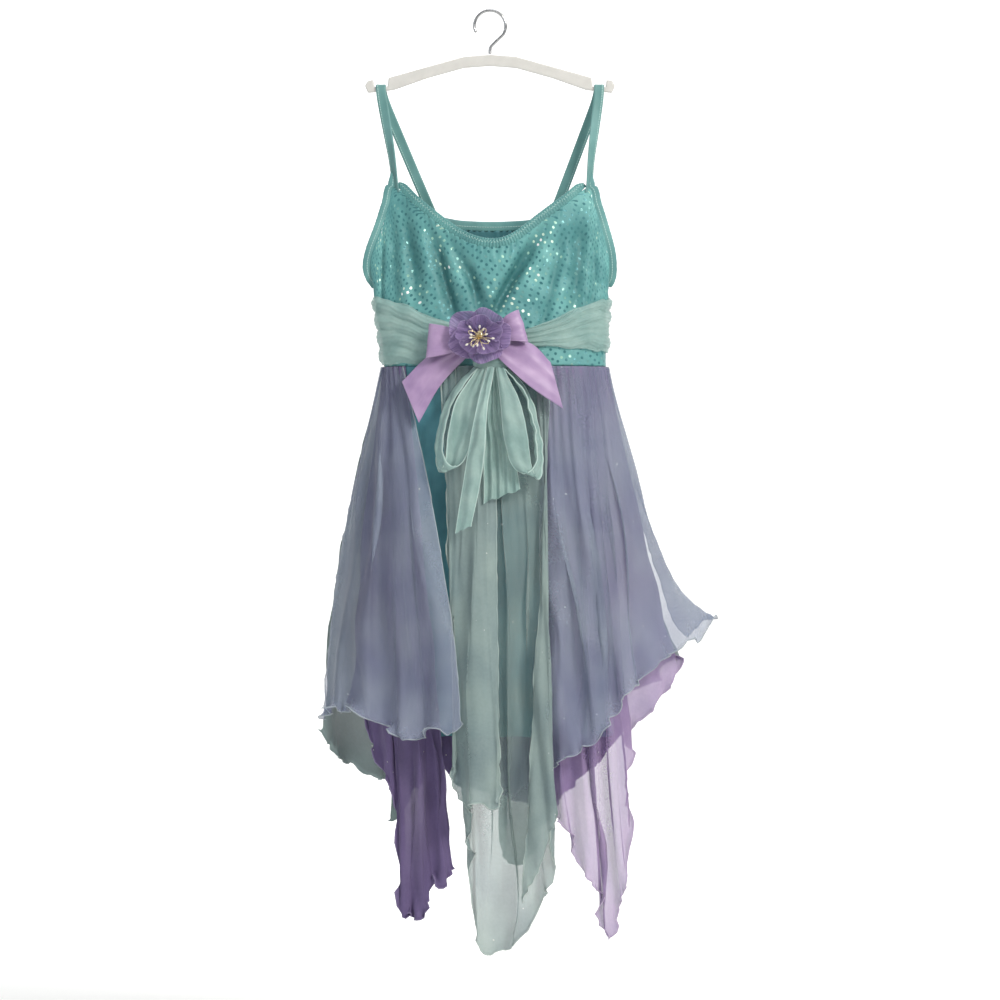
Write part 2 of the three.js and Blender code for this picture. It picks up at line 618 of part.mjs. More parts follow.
function flowerBoss() {
  const profile = [
    { radius: 0, out: 0 },
    { radius: 3.8, out: 0 },
    { radius: 3.8, out: 18 },
    { radius: 6, out: 19.5 },
    { radius: 5.5, out: 22 },
    { radius: 3, out: 24 },
    { radius: 0, out: 24.6 },
  ];
  const points = profile.map(({ radius, out }) => new THREE.Vector2(radius, out));
  const geometry = new THREE.LatheGeometry(points, 10);
  geometry.rotateX(Math.PI);
  return geometry.translate(FLOWER.x, FLOWER.depth + 3.4, -FLOWER.drop);
}

// Skirt: a column runs from an angle on the waist ring to its own point on the hem.
// ease above 1 flares early, and below 1 late.
const PANELS = [
  {
    name: "skirt_over_left",
    cloth: "mint",
    outset: 3.8,
    rows: 8,
    columns: [
      { waist: -51, x: -28, depth: -92, drop: 715, ease: 1.5 },
      { waist: -55, x: -46, depth: -98, drop: 722, ease: 1.4 },
      { waist: -59, x: -68, depth: -88, drop: 723, ease: 1.4 },
      { waist: -63, x: -90, depth: -92, drop: 722, ease: 1.3 },
      { waist: -67, x: -106, depth: -76, drop: 712, ease: 1.3 },
      { waist: -72, x: -122, depth: -74, drop: 706, ease: 1.4 },
      { waist: -77, x: -138, depth: -54, drop: 699, ease: 1.5 },
      { waist: -83, x: -152, depth: -46, drop: 700, ease: 1.6 },
      { waist: -90, x: -160, depth: -18, drop: 703, ease: 1.6 },
      { waist: -99, x: -166, depth: 6, drop: 708, ease: 1.6 },
    ],
  },
  {
    name: "skirt_over_centre_short",
    cloth: "mint",
    outset: 6.5,
    rows: 9,
    columns: [
      { waist: -24, x: -30, depth: -86, drop: 738, ease: 1.2 },
      { waist: -19, x: -36, depth: -90, drop: 768, ease: 1.2 },
      { waist: -14, x: -20, depth: -98, drop: 786, ease: 1.2 },
      { waist: -9, x: -8, depth: -106, drop: 784, ease: 1.2 },
      { waist: -4, x: 4, depth: -100, drop: 788, ease: 1.2 },
      { waist: 0, x: 9, depth: -92, drop: 770, ease: 1.2 },
    ],
  },
  {
    name: "skirt_over_centre_long",
    cloth: "mint",
    outset: 5.2,
    rows: 11,
    columns: [
      { waist: -16, x: -25, depth: -76, drop: 790, ease: 1 },
      { waist: -12, x: -19, depth: -72, drop: 868, ease: 1 },
      { waist: -8, x: -8, depth: -77, drop: 930, ease: 1 },
      { waist: -3, x: 12, depth: -71, drop: 931, ease: 1 },
      { waist: 3, x: 27, depth: -77, drop: 922, ease: 1 },
      { waist: 9, x: 50, depth: -71, drop: 886, ease: 1 },
      { waist: 14, x: 59, depth: -80, drop: 860, ease: 1 },
      { waist: 18, x: 64, depth: -88, drop: 795, ease: 1 },
      { waist: 21, x: 60, depth: -99, drop: 812, ease: 1 },
      { waist: 23, x: 46, depth: -103, drop: 850, ease: 1 },
      { waist: 25, x: 32, depth: -100, drop: 880, ease: 1 },
    ],
  },
  {
    name: "skirt_over_right",
    cloth: "mint",
    outset: 3.8,
    rows: 9,
    columns: [
      { waist: 19.6, x: 47, depth: -60, drop: 756, ease: 1 },
      { waist: 24, x: 70, depth: -74, drop: 746, ease: 1 },
      { waist: 30, x: 91, depth: -74, drop: 734, ease: 1 },
      { waist: 36, x: 108, depth: -84, drop: 719, ease: 1 },
      { waist: 42, x: 120, depth: -72, drop: 700, ease: 1 },
      { waist: 48, x: 130, depth: -76, drop: 685, ease: 1 },
      { waist: 54, x: 146, depth: -60, drop: 668, ease: 1 },
      { waist: 60, x: 160, depth: -58, drop: 655, ease: 1 },
      { waist: 67, x: 175, depth: -44, drop: 643, ease: 1 },
      { waist: 74, x: 192, depth: -36, drop: 634, ease: 0.9 },
      { waist: 80, x: 210, depth: -24, drop: 624, ease: 0.7 },
      { waist: 86, x: 227, depth: -8, drop: 610, ease: 0.52 },
      { waist: 92, x: 214, depth: 4, drop: 612, ease: 0.56 },
      { waist: 98, x: 198, depth: 13, drop: 628, ease: 0.66 },
    ],
  },
  {
    name: "skirt_over_back_left",
    cloth: "mint",
    outset: 3.8,
    rows: 6,
    columns: [
      { waist: -101, x: -159, depth: 16, drop: 728, ease: 1.5 },
      { waist: -108, x: -137, depth: 40, drop: 760, ease: 1.3 },
      { waist: -116, x: -122, depth: 46, drop: 770, ease: 1.2 },
      { waist: -124, x: -104, depth: 66, drop: 778, ease: 1.1 },
      { waist: -131, x: -97, depth: 62, drop: 816, ease: 1 },
      { waist: -138, x: -80, depth: 78, drop: 792, ease: 1 },
      { waist: -146, x: -60, depth: 72, drop: 760, ease: 1 },
      { waist: -154, x: -42, depth: 86, drop: 742, ease: 1 },
      { waist: -163, x: -24, depth: 78, drop: 730, ease: 1 },
      { waist: -172, x: -8, depth: 90, drop: 726, ease: 1 },
      { waist: -179, x: 8, depth: 84, drop: 730, ease: 1 },
    ],
  },
  {
    name: "skirt_over_back_right",
    cloth: "mint",
    outset: 3.8,
    rows: 7,
    columns: [
      { waist: 101, x: 192, depth: 24, drop: 650, ease: 0.8 },
      { waist: 107, x: 176, depth: 44, drop: 656, ease: 1 },
      { waist: 114, x: 168, depth: 44, drop: 675, ease: 1 },
      { waist: 122, x: 150, depth: 64, drop: 682, ease: 1 },
      { waist: 130, x: 126, depth: 60, drop: 695, ease: 1 },
      { waist: 138, x: 104, depth: 78, drop: 730, ease: 1 },
      { waist: 146, x: 84, depth: 72, drop: 775, ease: 1 },
      { waist: 154, x: 62, depth: 86, drop: 815, ease: 1 },
      { waist: 161, x: 42, depth: 80, drop: 850, ease: 1 },
      { waist: 168, x: 24, depth: 92, drop: 862, ease: 1 },
      { waist: 174, x: 14, depth: 86, drop: 850, ease: 1 },
      { waist: 179, x: 11, depth: 93, drop: 800, ease: 1 },
    ],
  },
  {
    name: "skirt_under_left",
    cloth: "lilac",
    outset: 2.3,
    rows: 8,
    columns: [
      { waist: -50, x: -39, depth: -60, drop: 850, ease: 1.2 },
      { waist: -53, x: -47, depth: -68, drop: 868, ease: 1.2 },
      { waist: -56, x: -56, depth: -62, drop: 861, ease: 1.2 },
      { waist: -59, x: -64, depth: -70, drop: 893, ease: 1.2 },
      { waist: -62, x: -76, depth: -62, drop: 898, ease: 1.2 },
      { waist: -66, x: -88, depth: -66, drop: 890, ease: 1.2 },
      { waist: -70, x: -92, depth: -54, drop: 800, ease: 1.2 },
      { waist: -75, x: -100, depth: -52, drop: 768, ease: 1.2 },
      { waist: -81, x: -112, depth: -38, drop: 738, ease: 1.2 },
      { waist: -88, x: -126, depth: -26, drop: 706, ease: 1.1 },
      { waist: -96, x: -140, depth: -4, drop: 690, ease: 1.1 },
      { waist: -105, x: -132, depth: 12, drop: 692, ease: 1.1 },
    ],
  },
  {
    name: "skirt_under_right",
    cloth: "lilac",
    outset: 2.3,
    rows: 8,
    columns: [
      { waist: 17, x: 61, depth: -50, drop: 800, ease: 1 },
      { waist: 21, x: 72, depth: -58, drop: 812, ease: 1 },
      { waist: 25, x: 84, depth: -50, drop: 842, ease: 1 },
      { waist: 29, x: 98, depth: -58, drop: 864, ease: 1 },
      { waist: 33, x: 110, depth: -50, drop: 886, ease: 1 },
      { waist: 37, x: 117, depth: -56, drop: 920, ease: 1 },
      { waist: 41, x: 125, depth: -46, drop: 898, ease: 1 },
      { waist: 45, x: 134, depth: -50, drop: 866, ease: 1 },
      { waist: 50, x: 138, depth: -38, drop: 800, ease: 1 },
      { waist: 55, x: 135, depth: -40, drop: 765, ease: 1 },
      { waist: 60, x: 142, depth: -30, drop: 744, ease: 1 },
      { waist: 66, x: 134, depth: -28, drop: 728, ease: 1 },
      { waist: 73, x: 152, depth: -20, drop: 708, ease: 1 },
      { waist: 81, x: 170, depth: -12, drop: 686, ease: 1 },
      { waist: 89, x: 186, depth: 0, drop: 660, ease: 0.9 },
      { waist: 98, x: 170, depth: 10, drop: 640, ease: 0.9 },
      { waist: 107, x: 150, depth: 22, drop: 660, ease: 1 },
    ],
  },
  {
    name: "skirt_under_back",
    cloth: "lilac",
    outset: 2.3,
    rows: 6,
    columns: [
      { waist: 112, x: 138, depth: 38, drop: 716, ease: 1 },
      { waist: 122, x: 116, depth: 40, drop: 745, ease: 1 },
      { waist: 132, x: 92, depth: 54, drop: 772, ease: 1 },
      { waist: 142, x: 68, depth: 48, drop: 792, ease: 1 },
      { waist: 153, x: 42, depth: 60, drop: 802, ease: 1 },
      { waist: 164, x: 16, depth: 54, drop: 792, ease: 1 },
      { waist: 175, x: -8, depth: 64, drop: 786, ease: 1 },
      { waist: 186, x: -27, depth: 56, drop: 782, ease: 1 },
      { waist: 197, x: -47, depth: 60, drop: 765, ease: 1 },
      { waist: 208, x: -68, depth: 50, drop: 742, ease: 1 },
      { waist: 219, x: -88, depth: 50, drop: 725, ease: 1 },
      { waist: 230, x: -106, depth: 36, drop: 712, ease: 1 },
      { waist: 242, x: -120, depth: 28, drop: 702, ease: 1 },
    ],
  },
];
const SKIRT_TOP = WAIST.drop + 0.3;

function panelGrid({ outset, columns, rows }, perSpan) {
  return Array.from({ length: rows + 1 }, (_, r) => {
    const share = r / rows;
    const across = columns.map(({ waist, x, depth, drop, ease }) => {
      const start = ringPoint(WAIST, waist, outset);
      const flare = 1 - (1 - share) ** ease;
      return place(
        lerp(start.x, x, flare),
        lerp(start.y, depth, flare),
        lerp(SKIRT_TOP, drop, share),
      );
    });
    return spline(across, perSpan);
  });
}

const LINING = { outset: 0.6, halfWidth: 116, halfDepth: 32, drop: 723, waves: 9, wave: 3 };

function liningGrid() {
  const around = 36;
  const rows = 5;
  return Array.from({ length: rows + 1 }, (_, r) => {
    const share = r / rows;
    return Array.from({ length: around }, (_, i) => {
      const angle = (360 * i) / around;
      const start = ringPoint(WAIST, angle, LINING.outset);
      const hem = ringPoint({ ...WAIST, ...LINING }, angle, 0);
      const wave = share * LINING.wave * Math.cos(radians(LINING.waves * angle));
      const point = start.lerp(hem, share).addScaledVector(fromWaistAxis(hem), wave);
      point.z = -lerp(SKIRT_TOP, LINING.drop, share);
      return point;
    });
  });
}

// Assembly
const plastic = finish(COLOURS.plastic, { roughness: 0.35, opacity: 0.75 });
const steel = finish(COLOURS.steel, { roughness: 0.25, metalness: 1 });
const dotKnit = finish(COLOURS.aqua, { roughness: 0.45 });
const plainKnit = finish(COLOURS.aqua, { roughness: 0.6 });
const sashCloth = finish(COLOURS.mint, { roughness: 0.7 });
const satin = finish(COLOURS.satin, { roughness: 0.3 });
const cloths = {
  mint: finish(COLOURS.mint, { roughness: 0.75, opacity: 0.6 }),
  lilac: finish(COLOURS.lilac, { roughness: 0.75, opacity: 0.65 }),
};

add("hanger_body", hangerBody(), plastic);
add("hanger_hook", hangerHook(), steel);

add("bodice_front", wall(frontGrid, CLOTH), dotKnit);
add("bodice_back", wall(backGrid, CLOTH), plainKnit);
const frontEdge = (from, to) => edgeOf(FRONT_TOP, from, to);
const backEdge = (from, to) => edgeOf(BACK_TOP, from, to);
const { leftStrap, rightStrap, rightUnderarm, backLeft, backRight } = EDGES;
const inwards = (x) => new THREE.Vector3(x, 0, 0.75).normalize();
const neckFront = frontEdge(leftStrap, rightStrap);
const neckBack = backEdge(backLeft, backRight);
const casingEnds = { first: inwards(0.66), last: inwards(-0.66) };
const bindingEnds = { first: inwards(0.1), last: inwards(-0.1) };
add("neck_casing_front", edgeBand(neckFront, CASING, casingEnds), dotKnit);
add("neck_binding_back", edgeBand(neckBack, { ...CASING, thick: BINDING.thick }, bindingEnds), plainKnit);
const leftArmhole = [...frontEdge(0, leftStrap).reverse(), ...backEdge(0, backLeft).slice(1)];
const rightBack = backEdge(backRight, BACK_TOP.length - 1).reverse();
const rightArmhole = [...frontEdge(rightStrap, rightUnderarm), ...rightBack.slice(1)];
add("armhole_binding_left", edgeBand(leftArmhole, BINDING), plainKnit);
add("armhole_binding_right", edgeBand(rightArmhole, BINDING), plainKnit);
add("strap_left", strap(-1), plainKnit);
add("strap_right", strap(1), plainKnit);

add("sash_wrap", sashWrap(), sashCloth);
add("sash_knot", sashKnot(), sashCloth);
add("sash_loop_left", tableStrip(LOOP_LEFT, 3, 1.2), sashCloth);
add("sash_loop_right", tableStrip(LOOP_RIGHT, 3, 1.2), sashCloth);
add("sash_tail_left", tableStrip(TAIL_LEFT, 3, 1.2), sashCloth);
add("sash_tail_right", tableStrip(TAIL_RIGHT, 3, 1.2), sashCloth);

add("bow_knot", bowKnot(), satin);
add("bow_loop_left", tableStrip(BOW_LOOP_LEFT, 3, SATIN.thick), satin);
add("bow_loop_right", tableStrip(BOW_LOOP_RIGHT, 3, SATIN.thick), satin);
add("bow_tail_left", ribbonTail(BOW_TAIL_LEFT), satin);
add("bow_tail_right", ribbonTail(BOW_TAIL_RIGHT), satin);
const organza = finish(COLOURS.petal, { roughness: 0.6, opacity: 0.85 });
PETAL_ROUNDS.forEach((round) => add(round.name, petalRound(round), organza));
add("flower_boss", flowerBoss(), finish(COLOURS.gold, { roughness: 0.3, metalness: 0.9 }));

PANELS.forEach((panel) => add(panel.name, wall(panelGrid(panel, 2), CHIFFON), cloths[panel.cloth]));
const liningCloth = finish(COLOURS.aquaDeep, { roughness: 0.6 });
add("skirt_lining", wall(liningGrid(), CHIFFON, { closed: true }), liningCloth);

export default dress;
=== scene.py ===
import math

import bpy
import numpy as np
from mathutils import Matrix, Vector


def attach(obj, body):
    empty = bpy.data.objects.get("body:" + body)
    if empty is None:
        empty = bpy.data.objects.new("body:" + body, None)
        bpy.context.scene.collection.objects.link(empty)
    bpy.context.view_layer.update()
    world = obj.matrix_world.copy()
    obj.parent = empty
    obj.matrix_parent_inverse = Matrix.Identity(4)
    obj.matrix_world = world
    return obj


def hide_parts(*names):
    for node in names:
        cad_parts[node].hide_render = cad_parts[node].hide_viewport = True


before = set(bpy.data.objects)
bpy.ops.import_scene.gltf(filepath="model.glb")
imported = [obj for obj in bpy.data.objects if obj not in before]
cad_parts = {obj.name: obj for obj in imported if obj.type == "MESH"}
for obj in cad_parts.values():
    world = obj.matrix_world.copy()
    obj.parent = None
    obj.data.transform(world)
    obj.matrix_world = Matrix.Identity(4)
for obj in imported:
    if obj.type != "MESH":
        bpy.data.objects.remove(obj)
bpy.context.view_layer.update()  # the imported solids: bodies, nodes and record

scene = bpy.context.scene
mm = 0.001
fullTurn = 2 * math.pi


def along(points, t):  # smooth line through points at places t; also many lines at once
    p = np.asarray(points, float)
    head = 2 * p[..., :1, :] - p[..., 1:2, :]
    tail = 2 * p[..., -1:, :] - p[..., -2:-1, :]
    p = np.concatenate([head, p, tail], axis=-2)
    i = np.clip(np.floor(t).astype(int), 0, p.shape[-2] - 4)
    u = (t - i)[:, None]
    a, b, c, d = (p[..., i + k, :] for k in range(4))
    return b + 0.5 * ((c - a) * u + (2 * a - 5 * b + 4 * c - d) * u**2 + (3 * b - a - 3 * c + d) * u**3)


def stations(spans, perSpan, close=()):  # even places along a line, with closer ones at its ends
    even = np.linspace(0, spans, spans * perSpan + 1)
    near = np.array(close, float) / perSpan
    return np.unique(np.concatenate([even, near, spans - near]))


def unit(v):
    return v / np.maximum(np.linalg.norm(v, axis=-1, keepdims=True), 1e-9)


def unevenness(a, b, seed, size):  # a smooth random field, about -1 to 1, over places in mm
    draw = np.random.default_rng(seed)
    total = 0
    for _ in range(7):
        heading, phase = draw.uniform(0, fullTurn, 2)
        rate = draw.uniform(0.55, 1.8) * fullTurn / size
        total = total + np.sin(rate * (a * math.cos(heading) + b * math.sin(heading)) + phase)
    return total / 2.8


def signedPower(v, power):
    return np.sign(v) * np.abs(v) ** power


waist = {"drop": 355, "centre": 5, "halfWidth": 109.5, "halfDepth": 36, "rounding": 0.83}


def ringPoint(degrees, outset=0, halfWidth=None, halfDepth=None, drop=None):
    angle = np.radians(degrees)
    across = (halfWidth or waist["halfWidth"]) + outset
    deep = (halfDepth or waist["halfDepth"]) + outset
    x = waist["centre"] + across * signedPower(np.sin(angle), waist["rounding"])
    y = -deep * signedPower(np.cos(angle), waist["rounding"])
    z = np.full_like(x, -(drop or waist["drop"]))
    return np.stack([x, y, z], -1)


def place(rows):  # (x, depth, drop) rows as points, +Z up
    return np.array([(r[0], r[1], -r[2]) for r in rows], float)


def fromWaist(grid):  # outwards from the body's middle line
    away = grid.copy()
    away[..., 0] -= waist["centre"]
    away[..., 2] = 0
    return unit(away)


def towardsFront(grid):
    return np.broadcast_to(np.array([0.0, -1.0, 0.0]), grid.shape)


def normalsOf(grid, closed=False):
    if closed:
        across = np.roll(grid, -1, 1) - np.roll(grid, 1, 1)
    else:
        across = np.gradient(grid, axis=1)
    return unit(np.cross(across, np.gradient(grid, axis=0)))


def facing(grid, outwards, closed=False):  # normals, turned to the side that is out
    n = normalsOf(grid, closed)
    return n if (n * outwards(grid)).sum() > 0 else -n


def arcAcross(grid):  # mm along each row, from its middle
    step = np.linalg.norm(np.diff(grid, axis=1), axis=2)
    run = np.concatenate([np.zeros((len(grid), 1)), np.cumsum(step, 1)], 1)
    return run - run[:, [run.shape[1] // 2]]


def arcAlong(grid):  # mm along each column, from the first row
    step = np.linalg.norm(np.diff(grid, axis=0), axis=2)
    return np.concatenate([np.zeros((1, grid.shape[1])), np.cumsum(step, 0)], 0)


def lengthAlong(path):  # mm from the first point
    return np.concatenate([[0], np.cumsum(np.linalg.norm(np.diff(path, axis=0), axis=1))])


def linkMesh(name, points, faces, flat, material):
    mesh = bpy.data.meshes.new(name)
    mesh.from_pydata((points * mm).tolist(), [], faces)
    mesh.polygons.foreach_set("use_smooth", np.ones(len(faces), bool))
    cloth = mesh.attributes.new("flat", "FLOAT_VECTOR", "POINT")  # place on the flat cloth, metres
    cloth.data.foreach_set("vector", (np.asarray(flat, float) * mm).ravel())
    mesh.materials.append(material)
    piece = bpy.data.objects.new(name, mesh)
    scene.collection.objects.link(piece)
    return piece


def makePiece(name, points, faces, flat, material):  # one closed form, turned so that its faces look out
    faces = [list(f) for f in faces]
    triangles = np.array([(f[0], f[i], f[i + 1]) for f in faces for i in range(1, len(f) - 1)])
    a, b, c = (points[triangles[:, k]] for k in range(3))
    if (a * np.cross(b, c)).sum() < 0:
        faces = [f[::-1] for f in faces]
    return linkMesh(name, points, faces, flat, material)


def shellParts(grid, thick, outwards, closed=False, hem=0.0):  # hem: 1 on a finished edge, 0 off it; on the bodice front it holds the fold troughs' depth, for painted shade
    out = facing(grid, outwards, closed)
    thick = np.broadcast_to(np.asarray(thick, float), grid.shape[:2])[..., None]
    rows, columns = grid.shape[:2]
    points = np.concatenate([grid.reshape(-1, 3), (grid - out * thick).reshape(-1, 3)])
    index = np.arange(rows * columns).reshape(rows, columns)
    if closed:
        index = np.concatenate([index, index[:, :1]], 1)
    under = index + rows * columns
    faces = [quadsOf(index)]
    faces.append(np.stack([under[:-1, :-1], under[1:, :-1], under[1:, 1:], under[:-1, 1:]], -1))
    faces.append(np.stack([index[0, :-1], under[0, :-1], under[0, 1:], index[0, 1:]], -1))
    faces.append(np.stack([index[-1, :-1], index[-1, 1:], under[-1, 1:], under[-1, :-1]], -1))
    if not closed:
        faces.append(np.stack([index[:-1, 0], index[1:, 0], under[1:, 0], under[:-1, 0]], -1))
        faces.append(np.stack([index[:-1, -1], under[:-1, -1], under[1:, -1], index[1:, -1]], -1))
    flat = np.stack([arcAcross(grid), arcAlong(grid), np.broadcast_to(hem, grid.shape[:2])], -1)
    flat = flat.reshape(-1, 3)
    faces = np.concatenate([f.reshape(-1, 4) for f in faces])
    return points, faces, np.concatenate([flat, flat])


def clothShell(name, grid, thick, material, outwards=fromWaist, closed=False, hem=0.0):
    points, faces, flat = shellParts(grid, thick, outwards, closed, hem)
    return makePiece(name, points, faces.tolist(), flat, material)


def quadsOf(index):
    return np.stack([index[:-1, :-1], index[:-1, 1:], index[1:, 1:], index[1:, :-1]], -1)


def tubeFaces(rows, k):  # quads round each step of a tube, and its two ends
    index = np.arange(rows * k).reshape(rows, k)
    quads = quadsOf(np.concatenate([index, index[:, :1]], 1)).reshape(-1, 4).tolist()
    return quads + [list(range(k))[::-1], list(range((rows - 1) * k, rows * k))]


def sweepParts(path, across, section, rise=None):
    # section is K (side, lift) pairs in mm, or one such set for each point of the path
    tangent = unit(np.gradient(path, axis=0))
    side = unit(across - (across * tangent).sum(1, keepdims=True) * tangent)
    lift = unit(np.cross(tangent, side)) if rise is None else unit(rise)
    section = np.broadcast_to(np.asarray(section, float), (len(path),) + np.shape(section)[-2:])
    rings = path[:, None] + side[:, None] * section[..., :1] + lift[:, None] * section[..., 1:]
    rows, k = rings.shape[:2]
    run = np.broadcast_to(lengthAlong(path)[:, None], (rows, k))
    flat = np.stack([run, section[..., 0], section[..., 1]], -1)
    return rings.reshape(-1, 3), tubeFaces(rows, k), flat.reshape(-1, 3)


def sweepPiece(name, path, across, section, material, rise=None):
    points, faces, flat = sweepParts(path, across, section, rise)
    return makePiece(name, points, faces, flat, material)


def joinedPiece(name, parts, material):  # several closed forms as one mesh
    points, faces, flat, count = [], [], [], 0
    for p, f, c in parts:
        a, b, d = (p[[face[k] for face in f]] for k in (0, 1, 2))
        turned = (a * np.cross(b, d)).sum() < 0
        faces += [[i + count for i in (face[::-1] if turned else face)] for face in f]
        points.append(p)
        flat.append(c)
        count += len(p)
    return linkMesh(name, np.concatenate(points), faces, np.concatenate(flat), material)


def roundSection(halfWidth, halfThick, corners=18, power=0.75):
    angle = np.linspace(0, fullTurn, corners, endpoint=False)
    side, lift = signedPower(np.cos(angle), power), signedPower(np.sin(angle), power)
    return np.stack([halfWidth * side, halfThick * lift], -1)


def fit(piece, node, slotName, **cloth):  # on the one body, in place of its plain solid
    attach(piece, "root")
    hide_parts(node)
    return piece


def hexLinear(code):
    def toLinear(v):
        return v / 12.92 if v <= 0.04045 else ((v + 0.055) / 1.055) ** 2.4
    return tuple(toLinear(int(code[i:i + 2], 16) / 255) for i in (1, 3, 5)) + (1.0,)


def addNode(tree, kind, given=None):  # settings by name, inputs by name or number; a socket is linked
    node = tree.nodes.new(kind)
    for key, value in (given or {}).items():
        if isinstance(key, str) and hasattr(node, key):
            setattr(node, key, value)
        elif isinstance(value, bpy.types.NodeSocket):
            tree.links.new(value, node.inputs[key])
        else:
            node.inputs[key].default_value = hexLinear(value) if isinstance(value, str) else value
    return node


def startMaterial(name, **sockets):
    material = bpy.data.materials.new(name)
    material.use_nodes = True
    tree = material.node_tree
    tree.nodes.clear()
    shader = addNode(tree, "ShaderNodeBsdfPrincipled", {k.replace("_", " "): v for k, v in sockets.items()})
    addNode(tree, "ShaderNodeOutputMaterial", {"Surface": shader.outputs[0]})
    return material, tree, shader


def feed(tree, shader, **sources):
    for key, source in sources.items():
        tree.links.new(source, shader.inputs[key.replace("_", " ")])


def maths(tree, operation, *values):
    return addNode(tree, "ShaderNodeMath", {"operation": operation, **dict(enumerate(values))}).outputs[0]


def ranged(tree, source, low, high, toLow=0.0, toHigh=1.0):
    return addNode(tree, "ShaderNodeMapRange", {0: source, 1: low, 2: high, 3: toLow, 4: toHigh}).outputs[0]


def mixed(tree, share, under, over):
    return addNode(tree, "ShaderNodeMix", {"data_type": "RGBA", 0: share, 6: under, 7: over}).outputs[2]


def noise(tree, where, detail=2, scale=1.0):
    given = {"Scale": scale, "Detail": detail, "Vector": where}
    return addNode(tree, "ShaderNodeTexNoise", given).outputs["Fac"]


def raised(tree, height, strength, distance, **normal):
    given = {"Strength": strength, "Distance": distance, "Height": height, **normal}
    return addNode(tree, "ShaderNodeBump", given).outputs[0]


def flatPlace(tree):  # the flat cloth's own coordinates, metres; the third is 1 mm on a finished edge, and on the bodice front it carries the fold troughs' painted shade
    return addNode(tree, "ShaderNodeAttribute", {"attribute_name": "flat"}).outputs["Vector"]


def flatParts(tree):
    return addNode(tree, "ShaderNodeSeparateXYZ", {0: flatPlace(tree)}).outputs


def clothPlace(tree, perMetre, turn=0.0):
    scale = perMetre if isinstance(perMetre, tuple) else (perMetre,) * 3
    given = {"Scale": scale, "Rotation": (0, 0, turn), "Vector": flatPlace(tree)}
    return addNode(tree, "ShaderNodeMapping", given).outputs[0]


def threads(tree, spacingMm, wobble=0.6):  # warp and weft as one height
    given = {"Scale": 0.5, "Distortion": wobble, "Detail": 1, "Vector": clothPlace(tree, 1000 / spacingMm)}
    waves = [addNode(tree, "ShaderNodeTexWave", {"bands_direction": way, **given}) for way in "XY"]
    ways = [wave.outputs["Fac"] for wave in waves]
    return maths(tree, "MAXIMUM", *ways)


def mottled(tree, light, dark, sizeMm):  # slow drift between two tones
    drift = noise(tree, clothPlace(tree, 1000 / sizeMm), 3)
    return mixed(tree, ranged(tree, drift, 0.35, 0.65), dark, light)


def tinted(tree, base, height, toward, amount):  # thread tops take a little of another tone
    return mixed(tree, maths(tree, "MULTIPLY", height, amount), base, toward)


def chiffonMaterial(name, light, dark, pale, alpha, driftMm=70, gathered=0.0):
    # polyester crepe chiffon, plain woven: a matt, sheer film with a pebbled grain
    # and a denser rolled hem, which is also painted paler: a painted highlight on its curl
    material, tree, shader = startMaterial(name, Roughness=0.72, IOR=1.5, Sheen_Weight=0.25,
        Sheen_Roughness=0.45)
    grain = threads(tree, 0.8, 0.0)  # real threads are 0.2 mm, drawn coarser so that they show close to
    crepe = noise(tree, clothPlace(tree, 1000 / 3.2), 1)
    base = tinted(tree, mottled(tree, light, dark, driftMm), grain, pale, 0.08)
    base = tinted(tree, base, crepe, pale, 0.12)
    # small pale specks scattered over the cloth
    speckPlace = {"Scale": 1.0, "Randomness": 1.0, "Vector": clothPlace(tree, 1000 / 17)}
    fleck = ranged(tree, addNode(tree, "ShaderNodeTexVoronoi", speckPlace).outputs["Distance"], 0.055, 0.03)
    _, below, finish = flatParts(tree)
    hem = ranged(tree, finish, 0.0004, 0.0009, 0.0, 0.6)
    cover = ranged(tree, hem, 0.0, 0.6, alpha, min(1.0, alpha + 0.22))
    cover = maths(tree, "ADD", cover, ranged(tree, crepe, 0.3, 0.7, -0.01, 0.01))
    cover = maths(tree, "ADD", cover, ranged(tree, finish, 0.0, 0.00035, 0.0, 0.27))
    if gathered:  # denser near the waist seam, where the cloth is drawn up
        cover = maths(tree, "ADD", cover, ranged(tree, below, 0.26, 0.44, gathered, 0.0))
    pebbled = raised(tree, maths(tree, "MULTIPLY_ADD", grain, 0.35, crepe), 0.1, 0.00015)
    # painted highlight: the hem mask mixes the pale tone in along the rolled edge
    colour = mixed(tree, hem, mixed(tree, fleck, base, "#D9DEDC"), pale)
    feed(tree, shader, Base_Color=colour, Alpha=cover, Normal=pebbled)
    return material


def knitMaterial(name, light, dark, roughness=0.55):
    # polyester-elastane tricot, warp knitted: fine even wales and a low satiny sheen
    material, tree, shader = startMaterial(name, Roughness=roughness, IOR=1.5, Sheen_Weight=0.3,
        Sheen_Roughness=0.4)
    wales = threads(tree, 0.9, 0.3)  # wales are 0.4 mm, drawn at 0.9 mm so that they show
    base = tinted(tree, mottled(tree, light, dark, 38), wales, light, 0.25)
    bump = raised(tree, wales, 0.3, 0.00015)
    feed(tree, shader, Base_Color=base, Normal=bump)
    return material, tree, shader, base, bump


# painted glints: spots on the bodice front's flat cloth (metres), each with its reach and gain, where the
# foil dots are painted brighter
paintedGlintSpots = [((0.028, 0.068, 0), 0.026, 0.34), ((0.056, 0.140, 0), 0.030, 0.22),
    ((-0.010, 0.092, 0), 0.024, 0.2)]
# the dots' tones: tinted teals, then pale green to white, which are painted glints
foilTonesAndGlints = [(0.0, "#3B7A7E"), (0.54, "#437F84"), (0.66, "#6FA5A2"), (0.76, "#9CCBB8"), (0.86, "#E4F6E6"),
    (0.93, "#FFFFFF")]


